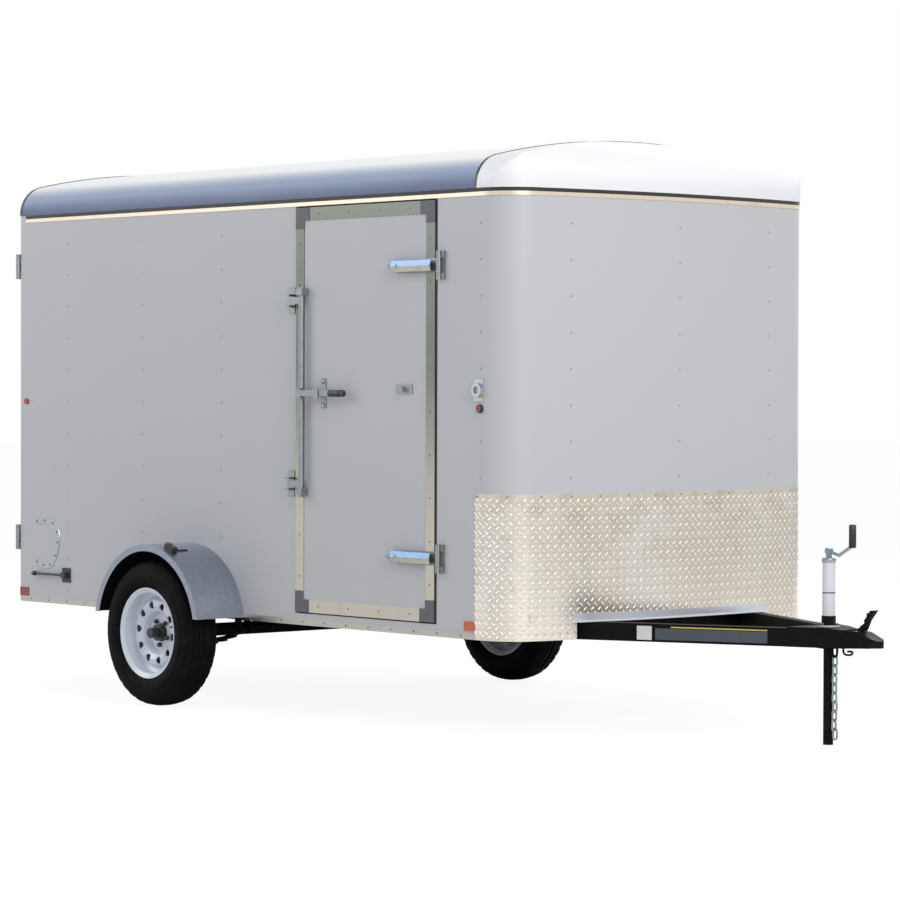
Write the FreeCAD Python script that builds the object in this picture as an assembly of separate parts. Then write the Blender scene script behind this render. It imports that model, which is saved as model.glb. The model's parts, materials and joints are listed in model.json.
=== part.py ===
import FreeCAD, Part
import math
import os

V = FreeCAD.Vector

# Enclosed cargo trailer: +X forward, +Y to the left, +Z up, millimetres.
# The origin is on the ground under the middle of the whole trailer.

# ---- body ----
BODY_LENGTH = 3660.0        # rear frame to the tip of the nose
BODY_WIDTH = 1834.0         # over the side sheets
CORNER_R = 165.0            # nose corners in plan
BOW_R = 4200.0              # slight bow of the nose in plan
WALL_T = 28.0               # post depth with its outer sheet
LINING_T = 6.0              # plywood lining
SKIRT_Z = 406.0             # lower edge of the side sheets
EAVE_Z = 2296.0             # top of the walls
ROOF_TOP_Z = 2530.0
ROOF_T = 25.0               # roof sheet with its frame
ROOF_LIP = 5.0              # roof edge beyond the side sheets
ROOF_CORNER_R = 145.0
CROWN_R = 3700.0
CAP_LENGTH = 280.0          # moulded front cap, along the centre line
CAP_ROUND_R = 170.0
CAP_UPRIGHT = 44.0          # upright band of the cap above the eave
CAP_SLOPE = 8.0             # degrees, slope of the cap's top towards the nose
CAP_FOOT = 10.0              # flange at the bottom of the cap, beyond the thickness of the walls
CAP_STIFFENING = 5.0        # extra thickness of the rounded front
POST_PITCH = 610.0
BOW_W = 30.0                # roof bows
BOW_H = 22.0

# ---- frame ----
FRAME_Z = 404.0
FRAME_H = 76.0
TUBE_W = 51.0
TUBE_WALL = 3.0
MEMBER_W = 38.0
FLOOR_T = 19.0
TONGUE_REACH = 1160.0       # nose tip to the front of the coupler
TONGUE_ANGLE = 25.0         # each rail from the centre line
TONGUE_HALF_AT_NOSE = 506.0  # outer face of a rail below the nose tip
RAIL_END_BACK = 260.0       # rail ends behind the front of the coupler

# ---- coupler and jack ----
PLATE_T = 6.0
BALL_R = 25.4
BALL_PLAY = 0.4
SOCKET_R = 35.0
SOCKET_DEPTH = 28.0
COUPLER_LENGTH = 385.0
JACK_BACK = 290.0           # jack axis behind the front of the coupler
JACK_TUBE_R = 26.5
JACK_LEG_R = 20.8
JACK_PLAY = 0.5
JACK_TOP_Z = 751.0
JACK_TUBE_Z = 398.0
JACK_TRAVEL = 230.0
LEG_WALL = 4.0
CHAIN_W = 22.0

# ---- running gear ----
AXLE_FROM_REAR = 1397.0
TYRE_R = 335.0
TYRE_W = 192.0
WHEEL_Y = 1086.0            # middle plane of each wheel
RIM_SEAT_R = 190.0
RIM_FLANGE_R = 208.0
RIM_HALF_W = 82.0
RIM_T = 4.0
LUG_CIRCLE_R = 57.15        # five studs on 4.5 in
LUG_HOLE_R = 7.0
LUGS = 5
VENTS = 10
VENT_R = 17.0
VENT_CIRCLE_R = 128.0
PILOT_R = 41.5
HUB_R = 38.0
CAP_R = 23.0
SPINDLE_R = 16.0
SPINDLE_PLAY = 0.08
AXLE_R = 30.0
LEAF_W = 45.0
LEAF_T = 7.0
LEAVES = 4
SPRING_HALF = 320.0
SPRING_CAMBER = 52.0
EYE_R = 13.0
EYE_BOLT_R = 7.0
HANGER_T = 6.0
FENDER_R = 399.0
FENDER_T = 3.0
FENDER_LIP = 30.0
FENDER_Y = 1186.0
FENDER_FOOT_Z = 418.0
FENDER_FORWARD = 10.0       # fender centre ahead of the axle
FENDER_UP = 7.0             # and above it

# ---- doors ----
SIDE_DOOR_FROM_REAR = 2175.0
SIDE_DOOR_W = 943.0
DOOR_Z = 464.0
DOOR_TOP_Z = 2256.0
DOOR_GAP = 6.0
REAR_GAP = 8.0              # between the two rear doors
LEAF_DOOR_T = 28.0
EDGE_W = 57.0               # aluminium edge around each door
EDGE_PROUD = 5.0            # edge beyond the wall face
PANEL_BACK = 3.0            # panel behind the face of the edge
AXIS_OUT = 18.0             # hinge axis beyond the wall face
HINGE_SIDE_GAP = 38.0       # hinge axis to the door's edge
REAR_AXIS_Y = 921.0
REAR_FRAME_T = 45.0
STOP_W = 15.0
KNUCKLE_R = 11.0
PIN_R = 5.0
PIN_PLAY = 0.08
STRAP_W = 62.0
STRAP_T = 5.0
STRAP_REACH = 345.0
BUTT_H = 122.0
BUTT_W = 14.0
BUTT_GAP = 1.0
BUTT_T = 6.0
SIDE_HINGE_Z = (737.0, 1979.0)
REAR_HINGE_Z = (720.0, 2049.0)
BAR_R = 13.0
BAR_OFF = 8.0               # bar clear of the door's edge
LEVER_Z = 1435.0
LEVER_T = 8.0
GRIP_R = 14.0
GRIP_L = 98.0
KEEPER_GAP = 5.0

# ---- trim ----
SHEET = 2.0
RAIL_TRIM = 3.0
GUARD_FROM_REAR = 3376.0
GUARD_H = 612.0
BOTTOM_RAIL_H = 27.0
DRIP_H = 16.0
EAVE_RAIL_H = 17.0
LENS_T = 4.0
PLATE_W = 305.0
PLATE_H = 152.0
PLATE_HOLES = 177.8
PLATE_HOLE_R = 3.5

# ---- derived ----
HALF_W = BODY_WIDTH / 2
LEAF_FACE = EDGE_PROUD - AXIS_OUT      # door face, from the hinge axis
BAR_V = LEAF_FACE + BAR_OFF + BAR_R
GRIP_V = BAR_V + BAR_R + LEVER_T / 2
LOCK_OUT = AXIS_OUT + GRIP_V + GRIP_R  # rearmost point, the rear grips
OVERALL = LOCK_OUT + BODY_LENGTH + TONGUE_REACH
REAR_X = LOCK_OUT - OVERALL / 2
NOSE_X = REAR_X + BODY_LENGTH
FRONT_X = NOSE_X + TONGUE_REACH
AXLE_X = REAR_X + AXLE_FROM_REAR
FLOOR_Z = FRAME_Z + FRAME_H
FLOOR_TOP_Z = FLOOR_Z + FLOOR_T
GUARD_X = REAR_X + GUARD_FROM_REAR
BODY_X = REAR_X + REAR_FRAME_T
BOW_X = NOSE_X - BOW_R
CORNER_X = BOW_X + math.sqrt((BOW_R - CORNER_R) ** 2 - (HALF_W - CORNER_R) ** 2)
CORNER_ANGLE = math.atan2(-(HALF_W - CORNER_R), CORNER_X - BOW_X)
CAP_X = NOSE_X - CAP_LENGTH
SIDE_DOOR_X = REAR_X + SIDE_DOOR_FROM_REAR
SIDE_AXIS_X = SIDE_DOOR_X + SIDE_DOOR_W + HINGE_SIDE_GAP
SIDE_AXIS = V(SIDE_AXIS_X, -HALF_W - AXIS_OUT, 0)
REAR_AXIS = V(REAR_X - AXIS_OUT, -REAR_AXIS_Y, 0)
REAR_DOOR_W = REAR_AXIS_Y - HINGE_SIDE_GAP - REAR_GAP / 2
JACK_X = FRONT_X - JACK_BACK
AXLE_Z = TYRE_R
POSTS = [REAR_X + 403.0 + i * POST_PITCH for i in range(6)]


def box(x0, x1, y0, y1, z0, z1):
    return Part.makeBox(x1 - x0, y1 - y0, z1 - z0, V(x0, y0, z0))


def rod(start, end, radius):
    return Part.makeCylinder(radius, (end - start).Length, start, end - start)


def mirrored(shape):
    return shape.mirror(V(0, 0, 0), V(0, 1, 0))


def both_sides(shapes):
    return Part.makeCompound(shapes + [mirrored(s) for s in shapes])


def fuse(shapes):
    return shapes[0].fuse(shapes[1:]).removeSplitter()


def tube_box(x0, x1, y0, y1, z0, z1, along):
    """Rectangular tube, open at its two ends."""
    grow = {"x": (1, 0, 0), "y": (0, 1, 0)}[along]
    inset = [TUBE_WALL * (1 - g) - g for g in grow]
    core = box(x0 + inset[0], x1 - inset[0], y0 + inset[1], y1 - inset[1],
               z0 + TUBE_WALL, z1 - TUBE_WALL)
    return box(x0, x1, y0, y1, z0, z1).cut(core)


def prism(points, direction):
    """Solid of a closed polygon pushed along a vector."""
    wire = Part.makePolygon(points + points[:1])
    return Part.Face(wire).extrude(direction)


def export(name, shape):
    shape.exportStep("parts/" + name + ".step")


# ---- outlines ----
def polar(centre_x, centre_y, radius, angle):
    return V(centre_x + radius * math.cos(angle), centre_y + radius * math.sin(angle), 0)


def plan_solid(inset, x0, z0, z1):
    """The body in plan, moved inwards by inset, from x0 to the nose."""
    w = HALF_W - inset
    r = CORNER_R - inset
    cy = HALF_W - CORNER_R
    half_turn = (CORNER_ANGLE - math.pi / 2) / 2
    right = [V(CORNER_X, -w, 0), polar(CORNER_X, -cy, r, half_turn),
             polar(CORNER_X, -cy, r, CORNER_ANGLE)]
    left = [V(p.x, -p.y, 0) for p in right]
    tip = V(BOW_X + BOW_R - inset, 0, 0)
    edges = [Part.makeLine(V(x0, -w, 0), right[0]),
             Part.Arc(right[0], right[1], right[2]).toShape(),
             Part.Arc(right[2], tip, left[2]).toShape(),
             Part.Arc(left[2], left[1], left[0]).toShape(),
             Part.makeLine(left[0], V(x0, w, 0)),
             Part.makeLine(V(x0, w, 0), V(x0, -w, 0))]
    face = Part.Face(Part.Wire(edges))
    face.translate(V(0, 0, z0))
    return face.extrude(V(0, 0, z1 - z0))


def plan_band(outer, inner, x0, z0, z1):
    return plan_solid(outer, x0, z0, z1).cut(plan_solid(inner, x0 - 1, z0 - 1, z1 + 1))


def roof_solid(inset, x0, x1, z0):
    """Everything under the roof's outline, moved inwards by inset, above z0."""
    w = HALF_W + ROOF_LIP - inset
    r = ROOF_CORNER_R - inset
    cy = HALF_W + ROOF_LIP - ROOF_CORNER_R
    crown_z = ROOF_TOP_Z - CROWN_R
    cz = crown_z + math.sqrt((CROWN_R - ROOF_CORNER_R) ** 2 - cy ** 2)
    top = math.atan2(cz - crown_z, -cy)
    mid = (math.pi + top) / 2
    corner = [V(x0, -w, cz), V(x0, -cy + r * math.cos(mid), cz + r * math.sin(mid)),
              V(x0, -cy + r * math.cos(top), cz + r * math.sin(top))]
    other = [V(x0, -p.y, p.z) for p in corner]
    crown = V(x0, 0, ROOF_TOP_Z - inset)
    edges = [Part.makeLine(V(x0, -w, z0), corner[0]),
             Part.Arc(corner[0], corner[1], corner[2]).toShape(),
             Part.Arc(corner[2], crown, other[2]).toShape(),
             Part.Arc(other[2], other[1], other[0]).toShape(),
             Part.makeLine(other[0], V(x0, w, z0)),
             Part.makeLine(V(x0, w, z0), V(x0, -w, z0))]
    return Part.Face(Part.Wire(edges)).extrude(V(x1 - x0, 0, 0))


def nose_dome(inset):
    """Rounded front of the cap: its side view turned about the centre of the bow."""
    rho = BOW_R + ROOF_LIP - inset
    r = CAP_ROUND_R - inset
    turn = math.radians(90 - CAP_SLOPE)
    base = EAVE_Z - 1
    spring = EAVE_Z + CAP_UPRIGHT
    centre = rho - r
    mid = V(BOW_X + centre + r * math.cos(turn / 2), 0, spring + r * math.sin(turn / 2))
    top = V(BOW_X + centre + r * math.cos(turn), 0, spring + r * math.sin(turn))
    run = CAP_LENGTH + CORNER_R
    back = top + V(-run, 0, run * math.tan(math.radians(CAP_SLOPE)))
    start = V(BOW_X + rho, 0, spring)
    edges = [Part.makeLine(V(start.x, 0, base), start), Part.Arc(start, mid, top).toShape(),
             Part.makeLine(top, back), Part.makeLine(back, V(back.x, 0, base)),
             Part.makeLine(V(back.x, 0, base), V(start.x, 0, base))]
    face = Part.Face(Part.Wire(edges))
    swing = 15.0
    face.rotate(V(BOW_X, 0, 0), V(0, 0, 1), -swing)
    return face.revolve(V(BOW_X, 0, 0), V(0, 0, 1), 2 * swing)


def cap_solid(inset):
    under_roof = roof_solid(inset, CAP_X, NOSE_X + ROOF_LIP, EAVE_Z - 1)
    in_plan = plan_solid(inset - ROOF_LIP, CAP_X, EAVE_Z, ROOF_TOP_Z + 1)
    return in_plan.common(under_roof).common(nose_dome(inset))


def cap_hollow():
    """The room inside the cap, open below and towards the roof."""
    room = plan_solid(WALL_T + CAP_FOOT, CAP_X - 1, EAVE_Z - 1, ROOF_TOP_Z)
    under_roof = roof_solid(ROOF_T, CAP_X - 1, NOSE_X, EAVE_Z - 2)
    return room.common(under_roof).common(nose_dome(ROOF_T + CAP_STIFFENING))


# ---- frame and tongue ----
def tongue_rail(x1, grow=0.0):
    """Right rail of the A-frame; grow widens it, to cut its seat in other pieces."""
    slope = math.tan(math.radians(TONGUE_ANGLE))
    width = (TUBE_W + 2 * grow) / math.cos(math.radians(TONGUE_ANGLE))
    x0 = POSTS[4] + MEMBER_W / 2
    outer = -TONGUE_HALF_AT_NOSE - grow / math.cos(math.radians(TONGUE_ANGLE))
    y0 = outer + (x0 - NOSE_X) * slope
    y1 = outer + (x1 - NOSE_X) * slope
    points = [V(x0, y0, FRAME_Z), V(x1, y1, FRAME_Z),
              V(x1, y1 + width, FRAME_Z), V(x0, y0 + width, FRAME_Z)]
    inside = box(x0, x1, -(HALF_W - WALL_T - TUBE_W), 0, FRAME_Z, FLOOR_Z)
    return prism(points, V(0, 0, FRAME_H)).common(inside)


def hollow_rail():
    x1 = FRONT_X - RAIL_END_BACK
    core = tongue_rail(x1 + 1, -TUBE_WALL)
    core = core.common(box(core.BoundBox.XMin + TUBE_WALL, x1 + 1, -HALF_W, 0,
                           FRAME_Z + TUBE_WALL, FLOOR_Z - TUBE_WALL))
    return tongue_rail(x1).cut(core)


def frame_side_rail():
    outer = HALF_W - WALL_T
    return tube_box(BODY_X, CORNER_X, -outer, -outer + TUBE_W, FRAME_Z, FLOOR_Z, "x")


def cross_members():
    inner = HALF_W - WALL_T - TUBE_W
    pieces = []
    for x in [BODY_X + MEMBER_W / 2] + POSTS[:5]:
        pieces.append(tube_box(x - MEMBER_W / 2, x + MEMBER_W / 2, -inner, inner,
                               FRAME_Z, FLOOR_Z, "y"))
    front = POSTS[5]
    rail = tongue_rail(FRONT_X - RAIL_END_BACK)
    split = tube_box(front - MEMBER_W / 2, front + MEMBER_W / 2, -inner, inner,
                     FRAME_Z, FLOOR_Z, "y").cut([rail, mirrored(rail)])
    return Part.makeCompound(pieces + split.Solids)


def coupler():
    """Pressed A-frame coupler: a top plate and two wings outside the rails, with the ball socket."""
    slope = math.tan(math.radians(TONGUE_ANGLE))
    skew = math.cos(math.radians(TONGUE_ANGLE))
    back = FRONT_X - COUPLER_LENGTH
    ball_x = FRONT_X - SOCKET_R

    def plan(grow, z0, z1):
        outer = -TONGUE_HALF_AT_NOSE - grow / skew
        y_back = outer + (back - NOSE_X) * slope
        half = SOCKET_R - PLATE_T + grow
        x_neck = NOSE_X + (-half - outer) / slope
        points = [V(back, y_back, z0), V(x_neck, -half, z0), V(ball_x, -half, z0),
                  V(ball_x, half, z0), V(x_neck, half, z0), V(back, -y_back, z0)]
        return prism(points, V(0, 0, z1 - z0)), x_neck

    top = FLOOR_Z + PLATE_T
    outside, neck = plan(PLATE_T, FRAME_Z, top)
    inside, neck = plan(0.0, FRAME_Z - 1, FLOOR_Z)
    inside = inside.common(box(back, neck, -HALF_W, HALF_W, FRAME_Z - 1, FLOOR_Z))
    nose = rod(V(ball_x, 0, FRAME_Z + 8), V(ball_x, 0, top), SOCKET_R)
    side = [V(back, -HALF_W, FRAME_Z), V(back, -HALF_W, top), V(back + 130, -HALF_W, top),
            V(ball_x - 52, -HALF_W, FLOOR_Z - 6), V(ball_x, -HALF_W, FRAME_Z + 48),
            V(FRONT_X + 1, -HALF_W, FRAME_Z + 36), V(FRONT_X + 1, -HALF_W, FRAME_Z + 8),
            V(ball_x - 52, -HALF_W, FRAME_Z + 4), V(neck - 20, -HALF_W, FRAME_Z)]
    body = outside.cut(inside).fuse(nose).common(prism(side, V(0, BODY_WIDTH, 0)))
    socket = rod(V(ball_x, 0, FRAME_Z), V(ball_x, 0, FRAME_Z + 8 + SOCKET_DEPTH),
                 BALL_R + BALL_PLAY)
    jack_hole = rod(V(JACK_X, 0, FRAME_Z), V(JACK_X, 0, top + 1), JACK_TUBE_R + 0.5)
    return body.cut([socket, jack_hole]).removeSplitter()


def coupler_latch():
    """Latch lever standing up behind the ball socket, on its pivot block."""
    x = FRONT_X - SOCKET_R - 52
    z = FLOOR_Z - 6
    block = box(x - 30, x - 2, -14, 14, z + 3, z + 16)
    outline = [(-22, 10), (4, 10), (24, 50), (60, 92), (32, 89), (22, 74), (14, 79), (14, 64),
               (1, 50), (1, 36), (-22, 22)]
    blade = prism([V(x + a, -11, z + b) for a, b in outline], V(0, 22, 0))
    return block.fuse(blade).removeSplitter()


# ---- jack ----
def jack_tube():
    """Outer tube with its mounting flange and the grey gear cap."""
    top = FLOOR_Z + PLATE_T
    tube = rod(V(JACK_X, 0, JACK_TUBE_Z), V(JACK_X, 0, JACK_TOP_Z), JACK_TUBE_R)
    flange = rod(V(JACK_X, 0, top), V(JACK_X, 0, top + 8), 46.0)
    collar = rod(V(JACK_X, 0, top + 8), V(JACK_X, 0, 529.0), JACK_TUBE_R + 2)
    cap = rod(V(JACK_X, 0, JACK_TOP_Z), V(JACK_X, 0, JACK_TOP_Z + 16), JACK_TUBE_R + 1.5)
    bore = rod(V(JACK_X, 0, JACK_TUBE_Z - 1), V(JACK_X, 0, JACK_TOP_Z - 6),
               JACK_LEG_R + JACK_PLAY)
    return fuse([tube, flange, collar, cap]).cut(bore)


def jack_leg():
    """Inner tube down to the ground, closed by its foot."""
    top = JACK_TOP_Z - 12 - JACK_TRAVEL
    leg = rod(V(JACK_X, 0, 0), V(JACK_X, 0, top), JACK_LEG_R)
    bore = rod(V(JACK_X, 0, 8), V(JACK_X, 0, top + 1), JACK_LEG_R - LEG_WALL)
    return leg.cut(bore)


def jack_crank():
    """Folding crank on the gear cap, with its black grip."""
    z = JACK_TOP_Z + 16
    pivot = V(JACK_X, 0, z + 29)
    block = box(JACK_X - 10, JACK_X + 10, -8, 8, z, z + 29)
    eye = rod(pivot - V(0, 12, 0), pivot + V(0, 12, 0), 14.0)
    elbow = V(JACK_X + 56, 0, z + 13)
    end = V(JACK_X + 128, 0, z + 54)
    arm = [rod(pivot, elbow, 7.0), Part.makeSphere(7.0, elbow), rod(elbow, end, 7.0)]
    grip = rod(end - V(0, 0, 8), end + V(-2, 0, 86), 12.5)
    return fuse([block, eye, grip] + arm)


def safety_chain():
    """Hanging chain as one slim bar, in a clevis under the coupler."""
    x = JACK_X + 46
    y = -12.0
    clevis = box(x - 16, x + 16, y - 8, y + 8, FRAME_Z - 34, FRAME_Z - 22)
    tongue = box(x - 16, x + 16, y - 4, y + 4, FRAME_Z - 30, FRAME_Z)
    cross = box(x - 16, x + 16, -60, 60, FRAME_Z - 6, FRAME_Z)
    chain = box(x - 5, x + 5, y - CHAIN_W / 2, y + CHAIN_W / 2, 8, FRAME_Z - 30)
    return fuse([clevis, tongue, cross, chain])


# ---- running gear ----
def axle():
    tube_end = WHEEL_Y - 72
    tube = rod(V(AXLE_X, -tube_end, AXLE_Z), V(AXLE_X, tube_end, AXLE_Z), AXLE_R)
    spindle = rod(V(AXLE_X, -(WHEEL_Y + 28), AXLE_Z), V(AXLE_X, WHEEL_Y + 28, AXLE_Z), SPINDLE_R)
    spring_y = HALF_W - WALL_T - TUBE_W / 2
    seats = []
    for y in (-spring_y, spring_y):
        seats.append(box(AXLE_X - 42, AXLE_X + 42, y - LEAF_W / 2 - 4, y + LEAF_W / 2 + 4,
                         AXLE_Z - AXLE_R - 4, AXLE_Z - AXLE_R + 8))
    return fuse([tube, spindle] + seats)


def leaf_spring():
    """Right spring, hung under the axle: leaves as arcs about one centre, an eye at each end."""
    top_z = AXLE_Z - AXLE_R - 5
    radius = (SPRING_HALF ** 2 + SPRING_CAMBER ** 2) / (2 * SPRING_CAMBER)
    centre = V(AXLE_X, 0, top_z + radius)
    spring_y = HALF_W - WALL_T - TUBE_W / 2
    y0 = -spring_y - LEAF_W / 2
    pieces = []
    for i in range(LEAVES):
        half = SPRING_HALF * (1 - i / (LEAVES + 0.5))
        inner = radius + i * LEAF_T
        ring = Part.makeCylinder(inner + LEAF_T, LEAF_W, V(centre.x, y0, centre.z), V(0, 1, 0))
        ring = ring.cut(Part.makeCylinder(inner, LEAF_W + 2, V(centre.x, y0 - 1, centre.z),
                                          V(0, 1, 0)))
        pieces.append(ring.common(box(AXLE_X - half, AXLE_X + half, y0, y0 + LEAF_W,
                                      top_z - 60, top_z + 120)))
    for side in (-1, 1):
        eye = V(AXLE_X + side * SPRING_HALF, y0, top_z + SPRING_CAMBER + EYE_R - LEAF_T)
        pieces.append(Part.makeCylinder(EYE_R, LEAF_W, eye, V(0, 1, 0)))
    whole = fuse(pieces)
    for side in (-1, 1):
        eye = V(AXLE_X + side * SPRING_HALF, y0 - 1, top_z + SPRING_CAMBER + EYE_R - LEAF_T)
        whole = whole.cut(Part.makeCylinder(EYE_BOLT_R, LEAF_W + 2, eye, V(0, 1, 0)))
    return whole


def spring_hanger(side):
    """Welded hanger with two ears and the eye bolt; side is -1 behind the axle, 1 ahead."""
    spring_y = HALF_W - WALL_T - TUBE_W / 2
    x = AXLE_X + side * SPRING_HALF
    eye_z = AXLE_Z - AXLE_R - 5 + SPRING_CAMBER + EYE_R - LEAF_T
    half = LEAF_W / 2
    ears = [box(x - 22, x + 22, y, y + HANGER_T, eye_z - 18, FRAME_Z)
            for y in (-spring_y - half - HANGER_T, -spring_y + half)]
    top = box(x - 22, x + 22, -spring_y - half - HANGER_T, -spring_y + half + HANGER_T,
              FRAME_Z - HANGER_T, FRAME_Z)
    bolt = rod(V(x, -spring_y - half - 14, eye_z), V(x, -spring_y + half + 14, eye_z), EYE_BOLT_R)
    return fuse(ears + [top, bolt])


def turned(points, at_y):
    """Solid turned about a wheel's axis; points are (outward, radius) from the wheel's plane."""
    corners = [V(AXLE_X, -(at_y + s), AXLE_Z + r) for s, r in points]
    face = Part.Face(Part.makePolygon(corners + corners[:1]))
    return face.revolve(V(AXLE_X, 0, AXLE_Z), V(0, 1, 0), 360)


def round_holes(shape, count, circle_r, radius, phase):
    """Cuts a ring of holes along the right wheel's axis."""
    for i in range(count):
        a = phase + 2 * math.pi * i / count
        at = V(AXLE_X + circle_r * math.cos(a), -(WHEEL_Y + 110), AXLE_Z + circle_r * math.sin(a))
        shape = shape.cut(Part.makeCylinder(radius, 220, at, V(0, 1, 0)))
    return shape


def tyre():
    seat, flange = RIM_SEAT_R, RIM_FLANGE_R
    half = TYRE_W / 2
    side = [(45, seat), (68, seat), (76, flange - 2), (86, 226), (half - 2, 246), (half, 262),
            (half - 3, 282), (86, 302), (77, 316), (63, 326), (40, TYRE_R - 2), (0, TYRE_R)]
    hollow = [(0, 318), (54, 312), (72, 296), (82, 264), (72, 228), (60, 204), (45, 202)]
    outer = [(-s, r) for s, r in side] + [(s, r) for s, r in side[-2::-1]]
    inner = [(s, r) for s, r in hollow[::-1]] + [(-s, r) for s, r in hollow[1:]]
    return turned(outer + inner, WHEEL_Y)


def rim():
    """Steel rim and its dished disc, with vent and stud holes."""
    seat, half = RIM_SEAT_R, RIM_HALF_W
    outer = [(-half, RIM_FLANGE_R), (-76, RIM_FLANGE_R - 2), (-68, seat), (-36, seat - 1),
             (-26, 168), (8, 168), (20, seat - 1), (68, seat), (76, RIM_FLANGE_R - 2),
             (half, RIM_FLANGE_R)]
    inner = [(half, RIM_FLANGE_R - RIM_T), (72, seat - RIM_T), (22, seat - RIM_T - 1),
             (10, 168 - RIM_T), (-28, 168 - RIM_T), (-38, seat - RIM_T - 1), (-72, seat - RIM_T),
             (-half, RIM_FLANGE_R - RIM_T)]
    barrel = turned(outer + inner, WHEEL_Y)
    disc = turned([(0, PILOT_R), (0, 84), (26, 100), (40, 124), (36, 148), (12, 166),
                   (8, 166), (30, 146), (34, 124), (21, 104), (-6, 88), (-6, PILOT_R)], WHEEL_Y)
    disc = round_holes(disc, VENTS, VENT_CIRCLE_R, VENT_R, math.radians(30))
    disc = round_holes(disc, LUGS, LUG_CIRCLE_R, LUG_HOLE_R, math.radians(49))
    return barrel.fuse(disc).removeSplitter()


def hub():
    """Hub on the spindle: flange behind the disc, barrel and the dust cap outside."""
    bore = SPINDLE_R + SPINDLE_PLAY
    return turned([(-58, bore), (-58, HUB_R), (-16, HUB_R), (-16, 70), (-6, 70), (-6, HUB_R),
                   (26, HUB_R), (26, CAP_R), (66, CAP_R), (70, CAP_R - 4), (70, 0), (34, 0),
                   (34, bore)], WHEEL_Y)


def fender():
    """Right fender: an arched sheet with a turned-down outer lip, cut level at its feet."""
    centre = V(AXLE_X + FENDER_FORWARD, 0, AXLE_Z + FENDER_UP)
    y_in, y_out = HALF_W + RAIL_TRIM, FENDER_Y

    def drum(radius, a, b):
        return Part.makeCylinder(radius, b - a, V(centre.x, -b, centre.z), V(0, 1, 0))

    sheet = drum(FENDER_R, y_in, y_out).cut(drum(FENDER_R - FENDER_T, y_in - 1, y_out + 1))
    lip = drum(FENDER_R, y_out - FENDER_T, y_out)
    lip = lip.cut(drum(FENDER_R - FENDER_LIP, y_out - FENDER_T - 1, y_out + 1))
    flange = drum(FENDER_R, HALF_W, y_in)
    flange = flange.cut(drum(FENDER_R - FENDER_LIP, HALF_W - 1, y_in + 1))
    flange = flange.common(box(centre.x - 500, centre.x + 500, -y_in - 1, -HALF_W,
                               SKIRT_Z + BOTTOM_RAIL_H, centre.z + FENDER_R + 20))
    whole = fuse([sheet, lip, flange])
    return whole.common(box(centre.x - 500, centre.x + 500, -FENDER_Y - 1, -HALF_W,
                            FENDER_FOOT_Z, centre.z + FENDER_R + 20))


# ---- body shell ----
def side_opening(y0, y1):
    """Cutter for the side doorway."""
    return box(SIDE_DOOR_X - DOOR_GAP, SIDE_DOOR_X + SIDE_DOOR_W + DOOR_GAP, y0, y1,
               DOOR_Z - DOOR_GAP, DOOR_TOP_Z + DOOR_GAP)


def side_wall():
    return box(BODY_X, CAP_X, -HALF_W, -HALF_W + WALL_T, SKIRT_Z, EAVE_Z)


def nose_cut():
    """Cutter that lets the A-frame out under the nose."""
    half = TONGUE_HALF_AT_NOSE + 60
    return box(CORNER_X - 200, NOSE_X + 100, -half, half, SKIRT_Z - 2, FLOOR_Z)


def nose_wall():
    return plan_band(0, WALL_T, CAP_X, SKIRT_Z, EAVE_Z).cut(nose_cut())


def lining():
    wrap = plan_band(WALL_T, WALL_T + LINING_T, BODY_X, FLOOR_TOP_Z, DOOR_TOP_Z)
    return wrap.cut(side_opening(-HALF_W, -HALF_W + WALL_T + LINING_T + 1))


def roof():
    shell = roof_solid(0, REAR_X, CAP_X, EAVE_Z)
    return shell.cut(roof_solid(ROOF_T, REAR_X - 1, CAP_X + 1, EAVE_Z - 1))


def roof_bows():
    """Bent tubes under the roof, one over each pair of posts."""
    pieces = []
    for x in POSTS[:5]:
        outer = roof_solid(ROOF_T, x - BOW_W / 2, x + BOW_W / 2, EAVE_Z)
        pieces.append(outer.cut(roof_solid(ROOF_T + BOW_H, x - BOW_W, x + BOW_W, EAVE_Z - 1)))
    return Part.makeCompound(pieces)


def rear_frame():
    """Ring around the rear doors: posts, sill and the arched header under the roof."""
    lower = box(REAR_X, BODY_X, -HALF_W, HALF_W, SKIRT_Z, EAVE_Z)
    arch = roof_solid(ROOF_T, REAR_X, BODY_X, EAVE_Z)
    half = REAR_AXIS_Y - HINGE_SIDE_GAP + DOOR_GAP
    opening = box(REAR_X - 1, REAR_X + 37, -half, half, DOOR_Z - DOOR_GAP, DOOR_TOP_Z + DOOR_GAP)
    inside = box(REAR_X - 1, BODY_X + 1, -half + STOP_W, half - STOP_W, FLOOR_TOP_Z,
                 DOOR_TOP_Z + DOOR_GAP - STOP_W)
    return lower.fuse(arch).cut([opening, inside]).removeSplitter()


def door_stop():
    """Three-sided stop behind the side door, in the plane of the lining."""
    y = HALF_W - WALL_T
    x0, x1 = SIDE_DOOR_X - DOOR_GAP, SIDE_DOOR_X + SIDE_DOOR_W + DOOR_GAP
    z1 = DOOR_TOP_Z
    outer = box(x0, x1, -y, -y + LINING_T, FLOOR_TOP_Z, z1)
    inner = box(x0 + STOP_W, x1 - STOP_W, -y - 1, -y + LINING_T + 1, FLOOR_TOP_Z - 1,
                z1 - STOP_W)
    return outer.cut(inner)


def stone_guard():
    wrap = plan_band(-SHEET, 0, GUARD_X, SKIRT_Z, SKIRT_Z + GUARD_H)
    return wrap.cut(nose_cut())


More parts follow.
